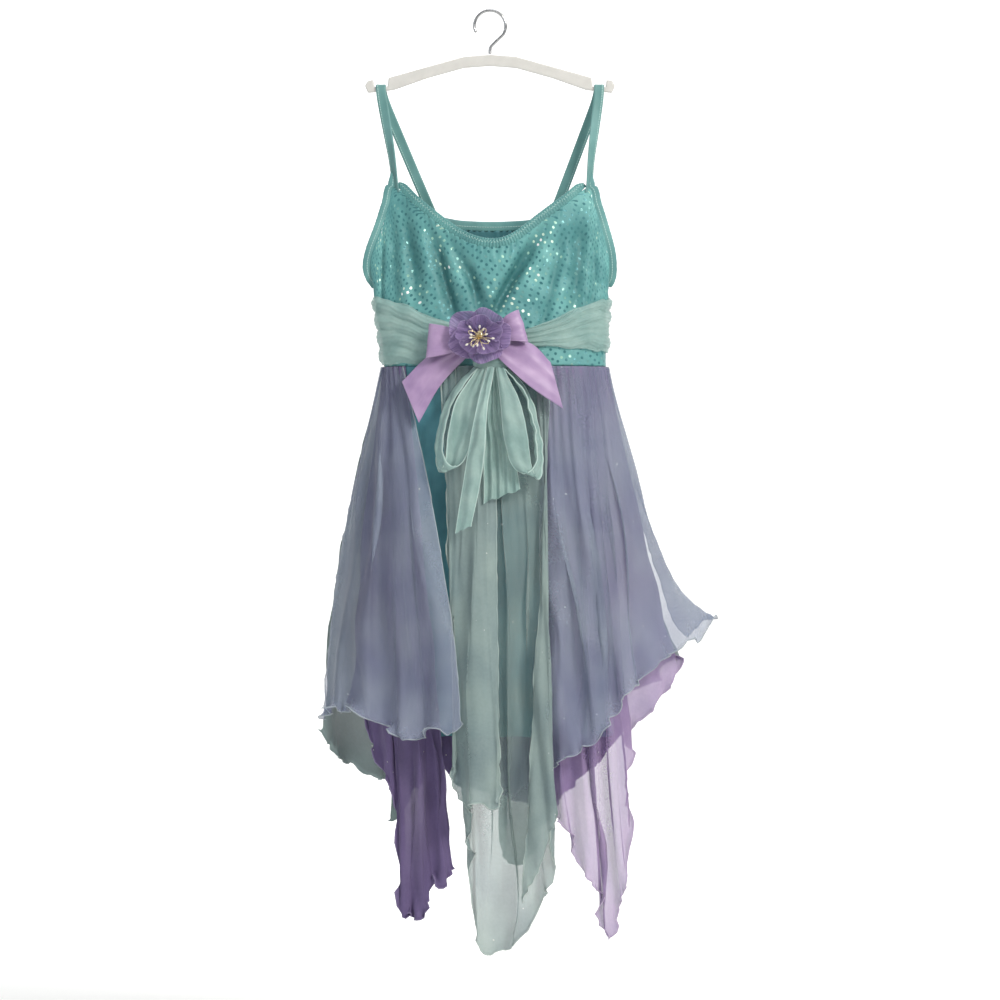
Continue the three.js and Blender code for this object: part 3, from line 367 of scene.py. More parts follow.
def foilDotMaterial():
    # the same tricot with round hot-stamped foil dots, 2.8 mm wide and 6.2 mm apart:
    # most lie dull; some are painted pale to white, as painted glints
    material, tree, shader, base, bump = knitMaterial("foilDotTricot", "#6CAEAC", "#47888B", 0.5)
    flat = flatPlace(tree)
    # painted shade: the cloth darkens to deep teal in the bodice front's fold troughs, read from the third
    # flat coordinate
    cloth = mixed(tree, ranged(tree, flatParts(tree)[2], 0.0, 0.0009, 0.0, 0.8), base, "#2F6E70")
    lattice = clothPlace(tree, 1000 / 6.2, math.radians(34))
    given = {"voronoi_dimensions": "2D", "Scale": 1.0, "Randomness": 0.2, "Vector": lattice}
    dots = addNode(tree, "ShaderNodeTexVoronoi", given).outputs
    mask = ranged(tree, dots["Distance"], 0.25, 0.21)
    # a patchy field of painted glint over the dots
    paintedGlint = ranged(tree, noise(tree, clothPlace(tree, 1000 / 40), 1), 0.48, 0.72, 0.0, 0.38)
    for spot, reach, gain in paintedGlintSpots:
        given = {"operation": "DISTANCE", 0: flat, 1: spot}
        away = addNode(tree, "ShaderNodeVectorMath", given).outputs["Value"]
        paintedGlint = maths(tree, "ADD", paintedGlint, ranged(tree, away, 0.004, reach, gain, 0.0))
    each = addNode(tree, "ShaderNodeSeparateColor", {0: dots["Color"]}).outputs[0]
    foil = addNode(tree, "ShaderNodeValToRGB", {0: maths(tree, "MULTIPLY_ADD", each, 0.68, paintedGlint)})
    stops = foil.color_ramp.elements
    while len(stops) < len(foilTonesAndGlints):
        stops.new(0.5)
    for stop, (at, code) in zip(stops, foilTonesAndGlints):
        stop.position = at
        stop.color = hexLinear(code)
    given = {"operation": "SUBTRACT", 0: dots["Color"], 1: (0.5, 0.5, 0.5)}
    tilt = addNode(tree, "ShaderNodeVectorMath", given)
    given = {"operation": "SCALE", 0: tilt.outputs[0], "Scale": maths(tree, "MULTIPLY", mask, 0.4)}
    lean = addNode(tree, "ShaderNodeVectorMath", given)
    turned = addNode(tree, "ShaderNodeVectorMath", {"operation": "ADD", 0: bump, 1: lean.outputs[0]})
    level = addNode(tree, "ShaderNodeVectorMath", {"operation": "NORMALIZE", 0: turned.outputs[0]})
    feed(tree, shader, Base_Color=mixed(tree, mask, cloth, foil.outputs[0]), Normal=level.outputs[0],
         Metallic=maths(tree, "MULTIPLY", mask, 0.35), Roughness=ranged(tree, mask, 0.0, 1.0, 0.5, 0.3))
    return material


def stitchedKnitMaterial(name, light, dark, offsetMm, zigzag):
    # folded tricot held by thread: a row of stitches that sits in the cloth, darker in its holes
    material, tree, shader, base, bump = knitMaterial(name, light, dark, 0.5)
    runMm, sideMm = (maths(tree, "MULTIPLY", part, 1000) for part in flatParts(tree)[:2])
    swing = maths(tree, "PINGPONG", runMm, 1.6)
    reach = maths(tree, "MULTIPLY_ADD", swing, 1.5 if zigzag else 0.0, offsetMm)
    line = ranged(tree, maths(tree, "ABSOLUTE", maths(tree, "SUBTRACT", sideMm, reach)), 0.5, 0.2)
    held = ranged(tree, maths(tree, "PINGPONG", runMm, 1.3), 0.15, 0.4)
    stitch = maths(tree, "MULTIPLY", line, held)
    feed(tree, shader, Base_Color=mixed(tree, stitch, base, "#A9CFCA"),
        Normal=raised(tree, stitch, 0.6, 0.0004, Normal=bump))
    return material


def satinMaterial():
    # polyester satin ribbon, woven with long floats; the bright streaks across its smooth face are painted
    # sheen
    material, tree, shader = startMaterial("satinRibbon", Roughness=0.43, IOR=1.55, Anisotropic=0.5,
        Sheen_Weight=0.15)
    floatsAndSheen = noise(tree, clothPlace(tree, (1400, 90, 1400)))
    # painted light and shade: a slow drift between a light and a dark lilac, and the floats tinted pale as
    # painted sheen streaks
    base = tinted(tree, mottled(tree, "#B094BC", "#8C70A0", 30), floatsAndSheen, "#CDB9D4", 0.3)
    feed(tree, shader, Base_Color=base, Normal=raised(tree, floatsAndSheen, 0.18, 0.0001))
    return material


def organzaMaterial():
    # crisp organza, plain woven from bright yarn: sheer petals with a yarn glint, partly from the sheen and
    # partly painted on the thread tops;
    # darker towards the base and in radial streaks, lighter towards the tips
    material, tree, shader = startMaterial("purpleOrganza", Roughness=0.45, IOR=1.5, Alpha=0.6,
        Sheen_Weight=0.4)
    grain = threads(tree, 0.8, 0.5)  # 0.15 mm threads, drawn coarser
    # painted glint: the thread tops are tinted pale
    tone = tinted(tree, mottled(tree, "#8C72B2", "#5F4D8E", 9), grain, "#C2AED6", 0.2)
    deeper = ranged(tree, noise(tree, clothPlace(tree, (900, 60, 900))), 0.45, 0.7, 0.0, 0.7)
    tip = ranged(tree, flatParts(tree)[1], 0.005, 0.027, 0.0, 0.8)
    base = mixed(tree, deeper, mixed(tree, tip, tone, "#B8A0D2"), "#54427E")
    feed(tree, shader, Base_Color=base, Normal=raised(tree, grain, 0.4, 0.0002))
    return material


def hardMaterial(name, light, dark, sizeMm, roughness, bumpMm, **sockets):
    material, tree, shader = startMaterial(name, **sockets)
    grain = noise(tree, addNode(tree, "ShaderNodeNewGeometry").outputs["Position"], 4, 1000 / sizeMm)
    rough = ranged(tree, grain, 0.3, 0.7, *roughness)
    feed(tree, shader, Base_Color=mixed(tree, grain, dark, light), Roughness=rough,
        Normal=raised(tree, grain, 0.3, bumpMm * mm))
    return material


foilDotTricot = foilDotMaterial()
# painted shade: a darker copy of the front's teal tricot, for the back bodice, which is seen in shade
plainTricotShaded = knitMaterial("plainTricotShaded", "#45828A", "#346D76")[0]
liningTricot = knitMaterial("liningTricot", "#5C9CA8", "#42808E", 0.6)[0]
strapTricot = stitchedKnitMaterial("strapTricot", "#6C9C9B", "#558583", 3.1, False)
# its tones are painted a little darker as painted shade, as on the back binding seen from inside
bindingTricot = stitchedKnitMaterial("bindingTricot", "#6FA6A4", "#4E8486", -1.6, False)
casingTricot = stitchedKnitMaterial("casingTricot", "#5F9C9A", "#3F777A", -0.75, True)
mintChiffon = chiffonMaterial("mintChiffon", "#98A4B8", "#7A84A4", "#BFCBCC", 0.19)
mintGathered = chiffonMaterial("mintGathered", "#9BB0AD", "#7D9498", "#BCCBC6", 0.35)  # hangs fuller
mintInShade = chiffonMaterial("mintInShade", "#7C9291", "#697D80", "#A3B4B2", 0.56)  # denser and painted darker, as painted shade: the back-left panel lies in the front panels' shade
lilacChiffon = chiffonMaterial("lilacChiffon", "#AE96C2", "#9480B0", "#C2B2CE", 0.30, gathered=0.12)
# denser where it lies bunched, and painted darker as painted shade
lilacBunchedShaded = chiffonMaterial("lilacBunchedShaded", "#62537F", "#51436E", "#83779E", 0.76)
sashChiffon = chiffonMaterial("sashChiffon", "#B4D3CD", "#90B6B2", "#CADDD8", 0.47, 30)
satinRibbon = satinMaterial()
purpleOrganza = organzaMaterial()
# brass-plated wire, drawn thin: warm metal with small bright lines
giltWire = hardMaterial("giltWire", "#E9DDBD", "#CDB88A", 1.5, (0.2, 0.35), 0.02, Metallic=1.0)
# pearl-lacquered beads, dipped: off-white with a soft glow under a clear coat
pearlBead = hardMaterial("pearlBead", "#F2EEE6", "#DCD6CC", 2.0, (0.25, 0.4), 0.02, Coat_Weight=0.4)
# injection-moulded polystyrene: smooth and pale, glossy with faint flow marks
hangerPlastic = hardMaterial("mouldedPolystyrene", "#D9D8D4", "#C8C8C4", 9, (0.28, 0.42), 0.05, IOR=1.59,
    Coat_Weight=0.2)
# nickel-plated steel wire: bright, with fine handling scuffs
hookSteel = hardMaterial("platedSteel", "#C9CACC", "#B2B4B6", 2.5, (0.16, 0.32), 0.02, Metallic=1.0)
print("stage: materials made")


view = {"x": 0.010, "distance": 3.6, "height": -0.488, "frameWidth": 1.0, "sensor": 36.0}
camera = bpy.data.objects.new("camera", bpy.data.cameras.new("camera"))
camera.location = (view["x"], -view["distance"], view["height"])
camera.rotation_euler = (math.pi / 2, 0, 0)
camera.data.sensor_width = view["sensor"]
camera.data.lens = view["sensor"] * view["distance"] / view["frameWidth"]
camera.data.clip_end = 30
scene.collection.objects.link(camera)
scene.camera = camera

studio = {"floor": -1.07, "wall": 5.4, "sweep": 1.6, "front": -9.0, "top": 4.5, "halfWidth": 9.0}


def backdropMaterial():
    # matt paper roll: pale, even, with the slightest tooth
    material, tree, shader = startMaterial("backdropPaper", Roughness=0.95, Emission_Color="#FFFFFF")
    where = addNode(tree, "ShaderNodeNewGeometry").outputs["Position"]
    # the far part of the roll glows by its own emission, more so further back: painted light, so that it
    # reads as white behind the dress
    back = addNode(tree, "ShaderNodeSeparateXYZ", {0: where}).outputs[1]
    base = mixed(tree, noise(tree, where, 6, 3.0), "#ECECEA", "#F4F4F2")
    feed(tree, shader, Base_Color=base, Emission_Strength=ranged(tree, back, 0.2, 1.8, 0.0, 0.62))
    return material


def backdrop():
    turn = np.linspace(0, math.pi / 2, 24)
    curveY = studio["wall"] - studio["sweep"] + studio["sweep"] * np.sin(turn)
    curveZ = studio["floor"] + studio["sweep"] * (1 - np.cos(turn))
    profile = [(studio["front"], studio["floor"]), *zip(curveY, curveZ), (studio["wall"], studio["top"])]
    half = studio["halfWidth"]
    points = [(side * half, y, z) for y, z in profile for side in (-1, 1)]
    faces = [(2 * i, 2 * i + 1, 2 * i + 3, 2 * i + 2) for i in range(len(profile) - 1)]
    mesh = bpy.data.meshes.new("backdrop")
    mesh.from_pydata(points, [], faces)
    mesh.polygons.foreach_set("use_smooth", np.ones(len(faces), bool))
    mesh.materials.append(backdropMaterial())
    paper = bpy.data.objects.new("backdrop", mesh)
    scene.collection.objects.link(paper)


def softbox(name, at, size, watts, colour):
    lamp = bpy.data.lights.new(name, "AREA")
    lamp.shape = "SQUARE"
    lamp.size = size
    lamp.energy = watts
    lamp.color = hexLinear(colour)[:3]
    light = bpy.data.objects.new(name, lamp)
    light.visible_camera = False
    light.location = at
    light.rotation_euler = (Vector((0, 0, -0.45)) - Vector(at)).to_track_quat("-Z", "Y").to_euler()
    scene.collection.objects.link(light)


backdrop()
softbox("keyLight", (1.8, -2.2, 1.2), 0.9, 74, "#FFF9F2")
softbox("fillLight", (-2.3, -2.6, 0.1), 1.8, 12, "#F4F8FF")
softbox("topLight", (0.2, -0.3, 1.7), 1.4, 12, "#FFFFFF")
softbox("rimLight", (-0.9, 2.2, 1.3), 1.4, 30, "#FFFFFF")
world = bpy.data.worlds.new("studioAir")
world.use_nodes = True
sky = world.node_tree.nodes["Background"]
sky.inputs["Color"].default_value = hexLinear("#EEF0F2")
sky.inputs["Strength"].default_value = 0.42
scene.world = world
scene.view_settings.view_transform = "Standard"
print("stage: camera, backdrop and light")


hanger = {"halfWidth": 125, "crownDrop": 43, "bevel": 1.2, "notchHalf": 6.6, "half": 3, "seatX": 109,
    "seatDrop": 75}
hook = {"innerRadius": 14, "wireRadius": 1.6, "stemDrop": 42}


def hangerBar():
    seat, notch = hanger["seatX"], hanger["notchHalf"]
    side = [
        (0, hanger["crownDrop"]), (26, 45), (62, 55), (seat - notch - 1, 66),
        (seat - notch, hanger["seatDrop"]),
        (seat + notch, hanger["seatDrop"]), (seat + notch + 1, 68), (hanger["halfWidth"] - 3, 69),
        (hanger["halfWidth"], 74), (hanger["halfWidth"] - 3, 81), (96, 78), (62, 66), (26, 56), (0, 54),
    ]
    outline = side + [(-x, drop) for x, drop in side[1:-1][::-1]]
    half = hanger["half"] * mm
    count = len(outline)
    points = [(x * mm, y, -drop * mm) for y in (-half, half) for x, drop in outline]
    faces = [list(range(count))[::-1], list(range(count, 2 * count))]
    faces += [[i, (i + 1) % count, count + (i + 1) % count, count + i] for i in range(count)]
    mesh = bpy.data.meshes.new("hangerBar")
    mesh.from_pydata(points, [], faces)
    mesh.materials.append(hangerPlastic)
    bar = bpy.data.objects.new("hangerBar", mesh)
    scene.collection.objects.link(bar)
    edge = bar.modifiers.new("roundedEdges", "BEVEL")
    edge.width = hanger["bevel"] * mm
    edge.segments = 4
    edge.limit_method = "ANGLE"
    edge.angle_limit = math.radians(20)
    mesh.polygons.foreach_set("use_smooth", np.ones(len(faces), bool))
    tidy = bar.modifiers.new("evenShading", "WEIGHTED_NORMAL")
    tidy.keep_sharp = True
    return fit(bar, "hanger_body", "hanger_plastic")


def hangerHook():
    reach = hook["innerRadius"] + hook["wireRadius"]
    stem = [(0, 0, hook["stemDrop"]), (0, 0, hook["stemDrop"] - 4), (1.5, 0, hook["stemDrop"] - 8)]
    angles = np.radians(-58 + 24 * np.arange(12))
    bend = [(reach * math.cos(a), 0, hook["innerRadius"] - reach * math.sin(a)) for a in angles]
    table = place(stem + bend)
    t = stations(len(table) - 1, 8, (0.1, 0.3, 0.6))
    path = along(table, t)
    across = np.broadcast_to(np.array([0.0, 1.0, 0.0]), path.shape)
    run = np.cumsum(np.linalg.norm(np.gradient(path, axis=0), axis=1))
    left = (run[-1] - run) / hook["wireRadius"]
    dome = np.sqrt(np.clip(1 - (1 - np.clip(left, 0, 1)) ** 2, 0.02, 1))  # the far end is rounded off
    section = roundSection(1, 1, 20, 1.0)[None] * (hook["wireRadius"] * dome)[:, None, None]
    return fit(sweepPiece("hangerHook", path, across, section, hookSteel), "hanger_hook", "hook_steel")


hangerBar()
hangerHook()
print("stage: hanger")


# x, depth, drop, and the way (across, up) that the binding carries on from the cloth
frontTop = [
    (-111, 0, 274, -0.9, -0.35), (-117, -3, 266, -0.97, -0.2), (-120, -6, 255, -1, 0),
    (-117, -8, 239, -0.97, 0.2), (-108, -10, 215, -0.95, 0.3), (-101, -11, 193, -0.97, 0.2),
    (-95, -12, 176, -0.95, 0.3), (-74, -19, 195, 0.5, 0.86), (-52, -24, 213, 0.55, 0.83),
    (-30, -28, 228, 0.5, 0.86), (-8, -30, 236, 0.2, 0.98), (12, -30, 236, -0.2, 0.98),
    (30, -28, 228, -0.5, 0.86), (52, -24, 211, -0.55, 0.83), (76, -19, 193, -0.5, 0.86),
    (98, -12, 177, 0.95, 0.3), (104.5, -11, 194, 0.97, 0.2), (112, -10, 218, 0.95, 0.3),
    (118, -8, 240, 0.99, 0.1), (119.5, -6, 256, 1, 0), (118.5, -3, 266, 0.97, -0.2),
    (115, 0, 273, 0.9, -0.35),
]
backTop = [
    (-111, 0, 274, -0.9, -0.35), (-100, 6, 265, -0.8, 0.6), (-86, 11, 247, -0.7, 0.7),
    (-70, 14, 228, -0.7, 0.7), (-58, 16, 213, -0.7, 0.7), (-28, 20, 216, 0, 1), (2, 22, 217, 0, 1),
    (32, 20, 216, 0, 1), (62, 16, 214, 0.7, 0.7), (75, 14, 229, 0.7, 0.7), (91, 11, 247, 0.7, 0.7),
    (105, 6, 263, 0.8, 0.6), (115, 0, 273, 0.9, -0.35),
]
edgeRow = {"leftStrap": 6, "rightStrap": 15, "rightUnderarm": 21, "backLeft": 4, "backRight": 8,
    "backEnd": 12}
bodice = {"cloth": 1.4, "thick": 0.8, "seamDrop": 354.7, "perSpan": 10, "rows": 72, "puckerMm": 6.3,
    "pucker": 1.25, "puckerReach": 11, "foldScale": 1.2}
# soft troughs and creases in the front: from x, drop to x, drop, depth and width
folds = [
    (-84, 197, -70, 292, 5, 7), (-61, 208, -36, 306, 6, 7), (-44, 217, -4, 300, 5, 6),
    (61, 204, 4, 300, 7, 6.5), (91, 205, 84, 302, 4.5, 8), (40, 228, -2, 314, 3, 4),
    (-98, 200, -92, 300, 3, 5), (-20, 252, -10, 320, 2.5, 4), (105, 212, 102, 298, 2.5, 4),
    (-50, 242, -30, 322, 2.5, 3), (73, 224, 52, 318, 3, 5), (-107, 214, -108, 292, 3, 2.2),
]


def foldDepth(x, drop):
    total = 0
    for fromX, fromDrop, toX, toDrop, depth, width in folds:
        runX, runDrop = toX - fromX, toDrop - fromDrop
        share = np.clip(((x - fromX) * runX + (drop - fromDrop) * runDrop) / (runX**2 + runDrop**2), 0, 1)
        away = np.hypot(x - fromX - share * runX, drop - fromDrop - share * runDrop) / width
        rise = np.sin(math.pi * (0.15 + 0.7 * share))
        total = total + bodice["foldScale"] * depth * rise * np.exp(-away**2)
    return total


def bodiceBase(table, fromAngle, toAngle, t, shares):
    top = along(place(table), t)
    angles = np.interp(t, [0, len(table) - 1], [fromAngle, toAngle])
    foot = ringPoint(angles, bodice["cloth"], drop=bodice["seamDrop"])
    return foot[None] + (top - foot)[None] * shares[:, None, None]


def bodicePanel(name, table, fromAngle, toAngle, material, node, flat, area, neck, seed, withFolds):
    t = stations(len(table) - 1, bodice["perSpan"])
    shares = np.linspace(0, 1, bodice["rows"] + 1)
    grid = bodiceBase(table, fromAngle, toAngle, t, shares)
    x, drop = grid[..., 0], -grid[..., 2]
    rest = (1 - np.abs(2 * shares - 1) ** 4)[:, None]
    trough = 0.0
    out = facing(grid, fromWaist)
    if withFolds:
        trough = rest * foldDepth(x, drop)
        grid[..., 1] += trough
    run = arcAcross(grid)
    below = np.linalg.norm(grid - grid[-1:], axis=2)  # mm down from the top edge
    onNeck = np.clip(np.minimum(t - neck[0], neck[1] - t) / 0.6, 0, 1)[None]
    wave = np.sin(fullTurn * run / bodice["puckerMm"] + 1.4 * unevenness(run, below, seed, 30))
    pucker = onNeck * bodice["pucker"] * np.exp(-below / bodice["puckerReach"]) * wave
    loose = rest * (0.9 * unevenness(x, drop, seed + 1, 48) + 0.35 * unevenness(x, drop, seed + 2, 17))
    grid = grid + out * (pucker + loose)[..., None]
    # the fold troughs' depth goes to the material as painted shade
    piece = clothShell(name, grid, bodice["thick"], material, hem=np.clip(trough / 6, 0, 1))
    slotName = "foil_dot_knit" if withFolds else "plain_knit"
    return fit(piece, node, slotName, flat=flat, area=area, held="hung",
               rests_on=["strap_left", "strap_right"])


bodicePanel("bodiceFront", frontTop, -90, 90, foilDotTricot, "bodice_front", (0.26, 0.19), 0.038, (6, 15),
    11, True)
bodicePanel("bodiceBack", backTop, 270, 90, plainTricotShaded, "bodice_back", (0.25, 0.15), 0.031, (4, 8), 21,
    False)

binding = {"width": 6, "thick": 2.0, "clear": 1.3, "lap": 0.9, "perSpan": 9}
casing = {"width": 8, "thick": 2.6, "clear": 0.85, "lap": 0.9, "ridgeMm": 2.9}


def edgeOf(table, fromRow, toRow, own=False):  # points of a panel's top edge, and the way out from each
    t = np.linspace(fromRow, toRow, (toRow - fromRow) * binding["perSpan"] + 1)
    ways = unit(np.array([(r[3], 0, r[4]) for r in table[fromRow:toRow + 1]], float))
    if own:  # the strap corners' rows point along the armhole, not out from the neck
        ways[0], ways[-1] = ways[1], ways[-2]
    return along(place(table), t), unit(along(ways, t - fromRow))


def joinEdges(first, second):
    return tuple(np.concatenate([a, b[1:]]) for a, b in zip(first, second))


def backwards(edge):
    return tuple(part[::-1] for part in edge)


def edgeBand(name, edge, size, node, material, section, cut, slotName="plain_knit", ends=None):
    points, outwards = edge
    if ends:  # the end faces lie along the strap
        passed = lengthAlong(points)[:, None]
        turn, turnBack = np.clip(1 - passed / 12, 0, 1), np.clip(1 - (passed[-1] - passed) / 12, 0, 1)
        outwards = unit(outwards * (1 - turn) * (1 - turnBack) + turn * ends[0] + turnBack * ends[1])
    tangent = unit(np.gradient(points, axis=0))
    normal = unit(np.cross(tangent, outwards))
    if (normal * fromWaist(points)).sum() < 0:
        normal = -normal
    path = points + outwards * (size["clear"] + size["width"] / 2) - normal * bodice["cloth"] / 2
    run = lengthAlong(path)
    taper = 0.5 + 0.5 * np.clip(np.minimum(run, run[-1] - run) / 9, 0, 1)  # towards both ends
    shaped = section(run) * taper[:, None, None]
    rings = path[:, None] + outwards[:, None] * shaped[..., :1] + normal[:, None] * shaped[..., 1:]
    rows, k = rings.shape[:2]
    flat = np.stack([np.broadcast_to(run[:, None], (rows, k)), shaped[..., 0], shaped[..., 1]], -1)
    piece = makePiece(name, rings.reshape(-1, 3), tubeFaces(rows, k), flat.reshape(-1, 3), material)
    return fit(piece, node, slotName, flat=cut, area=0.8 * cut[0] * cut[1], held="stretched",
               rests_on=["bodice_front", "bodice_back"])


def lapped(size, thick, corners, power):  # the band's own section, carried inwards over the cloth's edge
    base = roundSection((size["width"] + size["clear"] + size["lap"]) / 2, thick / 2, corners, power)
    base[:, 0] -= (size["clear"] + size["lap"]) / 2
    return base


def boundSection(run):  # folded binding: a ridge near the cloth, where it is sewn through
    base = lapped(binding, binding["thick"], 22, 0.7)
    ridge = 0.35 * np.exp(-((base[:, 0] + 1.6) / 0.7) ** 2) * np.sign(base[:, 1])
    shaped = np.repeat(base[None], len(run), 0)
    shaped[..., 1] += ridge
    shaped[..., 0] += 0.12 * np.sin(fullTurn * run / 7)[:, None]
    return shaped


def ruchedSection(run):  # an elastic inside: close ridges across the band
    base = lapped(casing, casing["thick"], 24, 0.75)
    wave = np.sin(fullTurn * run / casing["ridgeMm"] + 0.8 * unevenness(run, run * 0, 5, 20))
    shaped = np.repeat(base[None], len(run), 0)
    shaped[..., 1] *= (0.8 + 0.32 * wave)[:, None]
    shaped[..., 0] *= (0.96 + 0.05 * wave)[:, None]
    valley = 0.3 * np.exp(-(base[:, 0] / 0.9) ** 2) * np.sign(base[:, 1])
    shaped[..., 1] -= valley
    return shaped


def flatSection(run):
    return np.repeat(lapped(casing, binding["thick"], 20, 0.7)[None], len(run), 0)


def finer(edge, factor):
    t = np.linspace(0, len(edge[0]) - 1, (len(edge[0]) - 1) * factor + 1)
    return along(edge[0], t), unit(along(edge[1], t))


def upStrap(rows, way):  # a few more places, where the band runs out along the strap
    return place(rows), np.tile(unit(np.array([way[0], 0, way[1]])), (len(rows), 1))


leftUp = upStrap([(-93.6, -11.6, 163), (-93.8, -11.8, 168), (-94.3, -11.9, 172.5), (-95, -12, 176)],
    (-0.95, 0.3))
rightUp = upStrap([(96.6, -11.6, 164), (96.8, -11.8, 169), (97.3, -11.9, 173.5), (98, -12, 177)],
    (0.95, 0.3))
leftArmhole = joinEdges(backwards(edgeOf(frontTop, 0, edgeRow["leftStrap"])),
    edgeOf(backTop, 0, edgeRow["backLeft"]))
leftArmhole = joinEdges(leftUp, leftArmhole)
rightBack = backwards(edgeOf(backTop, edgeRow["backRight"], edgeRow["backEnd"]))
rightArmhole = joinEdges(edgeOf(frontTop, edgeRow["rightStrap"], edgeRow["rightUnderarm"]), rightBack)
rightArmhole = joinEdges(rightUp, rightArmhole)
edgeBand("armholeBindingLeft", leftArmhole, binding, "armhole_binding_left", bindingTricot, boundSection,
    (0.010, 0.195))
edgeBand("armholeBindingRight", rightArmhole, binding, "armhole_binding_right", bindingTricot, boundSection,
    (0.010, 0.195))
neckFront = finer(edgeOf(frontTop, edgeRow["leftStrap"], edgeRow["rightStrap"], True), 4)
edgeBand("neckCasingFront", neckFront, casing, "neck_casing_front", casingTricot, ruchedSection,
    (0.012, 0.27), "foil_dot_knit",
         (unit(np.array([0.66, 0, 0.75])), unit(np.array([-0.66, 0, 0.75]))))
neckBack = edgeOf(backTop, edgeRow["backLeft"], edgeRow["backRight"], True)
edgeBand("neckBindingBack", neckBack, casing, "neck_binding_back", bindingTricot, flatSection,
    (0.012, 0.125), "plain_knit",
         (unit(np.array([0.1, 0, 0.75])), unit(np.array([-0.1, 0, 0.75]))))
print("stage: bodice")


strapSize = {"width": 10, "thick": 1.5, "perSpan": 10, "ridge": 0.45, "ridgeAt": 3.1}
strapPath = [  # x, depth, drop, and the way its width lies
    (-95.5, -10.2, 181, 0.6, 0.8, 0), (-97, -11.6, 171.6, 0.6, 0.8, 0), (-99.5, -11, 146, 0.7, 0.7, 0),
    (-104, -8.5, 115, 0.9, 0.4, 0), (-108, -5.4, 88, 1, 0.05, 0), (-109, -4.3, 77, 1, 0, 0),
    (-109, -3.75, 74.0, 1, 0, 0), (-109, 0, 73.4, 1, 0, 0), (-109, 3.75, 74.0, 1, 0, 0),
    (-109, 4.3, 77, 1, 0, 0), (-105, 6, 92, 1, 0, 0.1), (-92, 9, 125, 0.95, 0, 0.3),
    (-76, 12.5, 165, 0.94, 0, 0.34), (-60.6, 15.2, 203.1, 0.94, 0, 0.34),
    (-58.4, 14.8, 210, 0.94, 0, 0.34),
]


def strap(name, side, node):
    rows = []
    for x, depth, drop, ax, ay, az in strapPath:
        lower = min(max((drop - 78) / 125, 0), 1)
        rows.append((-side * x + 3 * lower, depth, drop, side * ax, ay, az))
    t = stations(len(rows) - 1, strapSize["perSpan"])
    path = along(place(rows), t)
    across = along(unit(np.array([r[3:] for r in rows], float)), t)
    half, thick = strapSize["width"] / 2, strapSize["thick"] / 2
    base = roundSection(half, thick, 32, 0.55)
    sideways, face = base[:, 0], np.sign(base[:, 1])
    for at in (strapSize["ridgeAt"], -strapSize["ridgeAt"] - 0.6):
        base[:, 1] += 0.5 * strapSize["ridge"] * np.exp(-((sideways - at) / 0.8) ** 2) * face
    base[:, 1] -= 0.12 * np.exp(-((sideways - strapSize["ridgeAt"] + 1.7) / 0.7) ** 2) * face
    piece = sweepPiece(name, path, across, base, strapTricot)
    return fit(piece, node, "plain_knit", flat=(0.0105, 0.25), held="hung", rests_on=["hanger_body"])


strap("strapLeft", -1, "strap_left")
strap("strapRight", 1, "strap_right")
print("stage: straps")


sash = {"clearance": 0.9, "thick": 0.9, "pleatDepth": 2.7, "pleats": 4, "rows": 64, "perSpan": 8,
    "gapAt": 0.42, "around": 500}
sashFront = [
    (-115, 284, 353), (-90, 292, 353), (-70, 302, 353), (-45, 312, 351), (-20, 320, 348), (5, 325, 345),
    (30, 320, 338), (55, 312, 336), (80, 302, 337), (100, 292, 339), (122, 285, 341),
]
sashBack = [(-115, 284, 353), (-60, 283, 352), (0, 287, 350), (60, 286, 346), (122, 285, 341)]


def sashColumns():
    parts = []
    halves = ((frontTop, -90, 90, sashFront, False), (backTop, 270, 90, sashBack, True))
    for table, fromAngle, toAngle, edges, flip in halves:
        t = stations(len(table) - 1, sash["perSpan"])
        top = along(place(table), t)
        angles = np.interp(t, [0, len(table) - 1], [fromAngle, toAngle])
        foot = ringPoint(angles, bodice["cloth"], drop=bodice["seamDrop"])
        middle = foot[:, 0] + 0.45 * (top[:, 0] - foot[:, 0])
        xs, tops, bottoms = (np.array([row[k] for row in edges], float) for k in range(3))
        block = [foot, top, np.interp(middle, xs, tops), np.interp(middle, xs, bottoms)]
        parts.append([b[::-1][1:-1] if flip else b for b in block])
    return [np.concatenate([a, b]) for a, b in zip(*parts)]


def sashWrap():
    foot, top, upper, lower = sashColumns()
    share = np.linspace(0, 1, sash["rows"] + 1)[:, None]
    spot = np.linspace(0, 1, len(foot), endpoint=False)[None]
    ring = sash["around"] * spot
    fray = 0.9 * unevenness(ring, ring * 0, 31, 26)
    drop = lower + (upper - lower) * share + fray * (2 * share - 1)
    up = (-foot[:, 2] - drop) / (top[:, 2] - foot[:, 2])
    base = foot[None] + (top - foot)[None] * up[..., None]
    out = facing(base, fromWaist, True)
    drift = 0.30 * unevenness(ring, 0 * ring, 32, 120) + 0.10 * unevenness(ring, 40 * share, 33, 45)
    wave = np.abs(np.sin(math.pi * (sash["pleats"] * share + drift)))
    fine = 0.3 * np.sin(fullTurn * (13 * share + 2 * drift + 0.5 * unevenness(ring, 60 * share, 34, 60)))
    lift = sash["pleatDepth"] * wave**0.8 + fine + 0.25
    onRight = np.clip((foot[:, 0] - 25) / 50, 0, 1)[None] * (foot[:, 1] < 0)[None]  # parts in two
    lift = lift * (1 - 0.9 * onRight * np.exp(-(((share - sash["gapAt"]) / 0.07) ** 2)))
    lift = lift * np.clip(np.minimum(share, 1 - share) / 0.05, 0.25, 1)
    grid = base + out * (sash["clearance"] + sash["thick"] + lift)[..., None]
    piece = clothShell("sashWrap", grid, sash["thick"], sashChiffon, closed=True)
    return fit(piece, "sash_wrap", "mint_chiffon", flat=(0.50, 0.068), area=0.032, held="gathered",
               rests_on=["bodice_front", "bodice_back"])


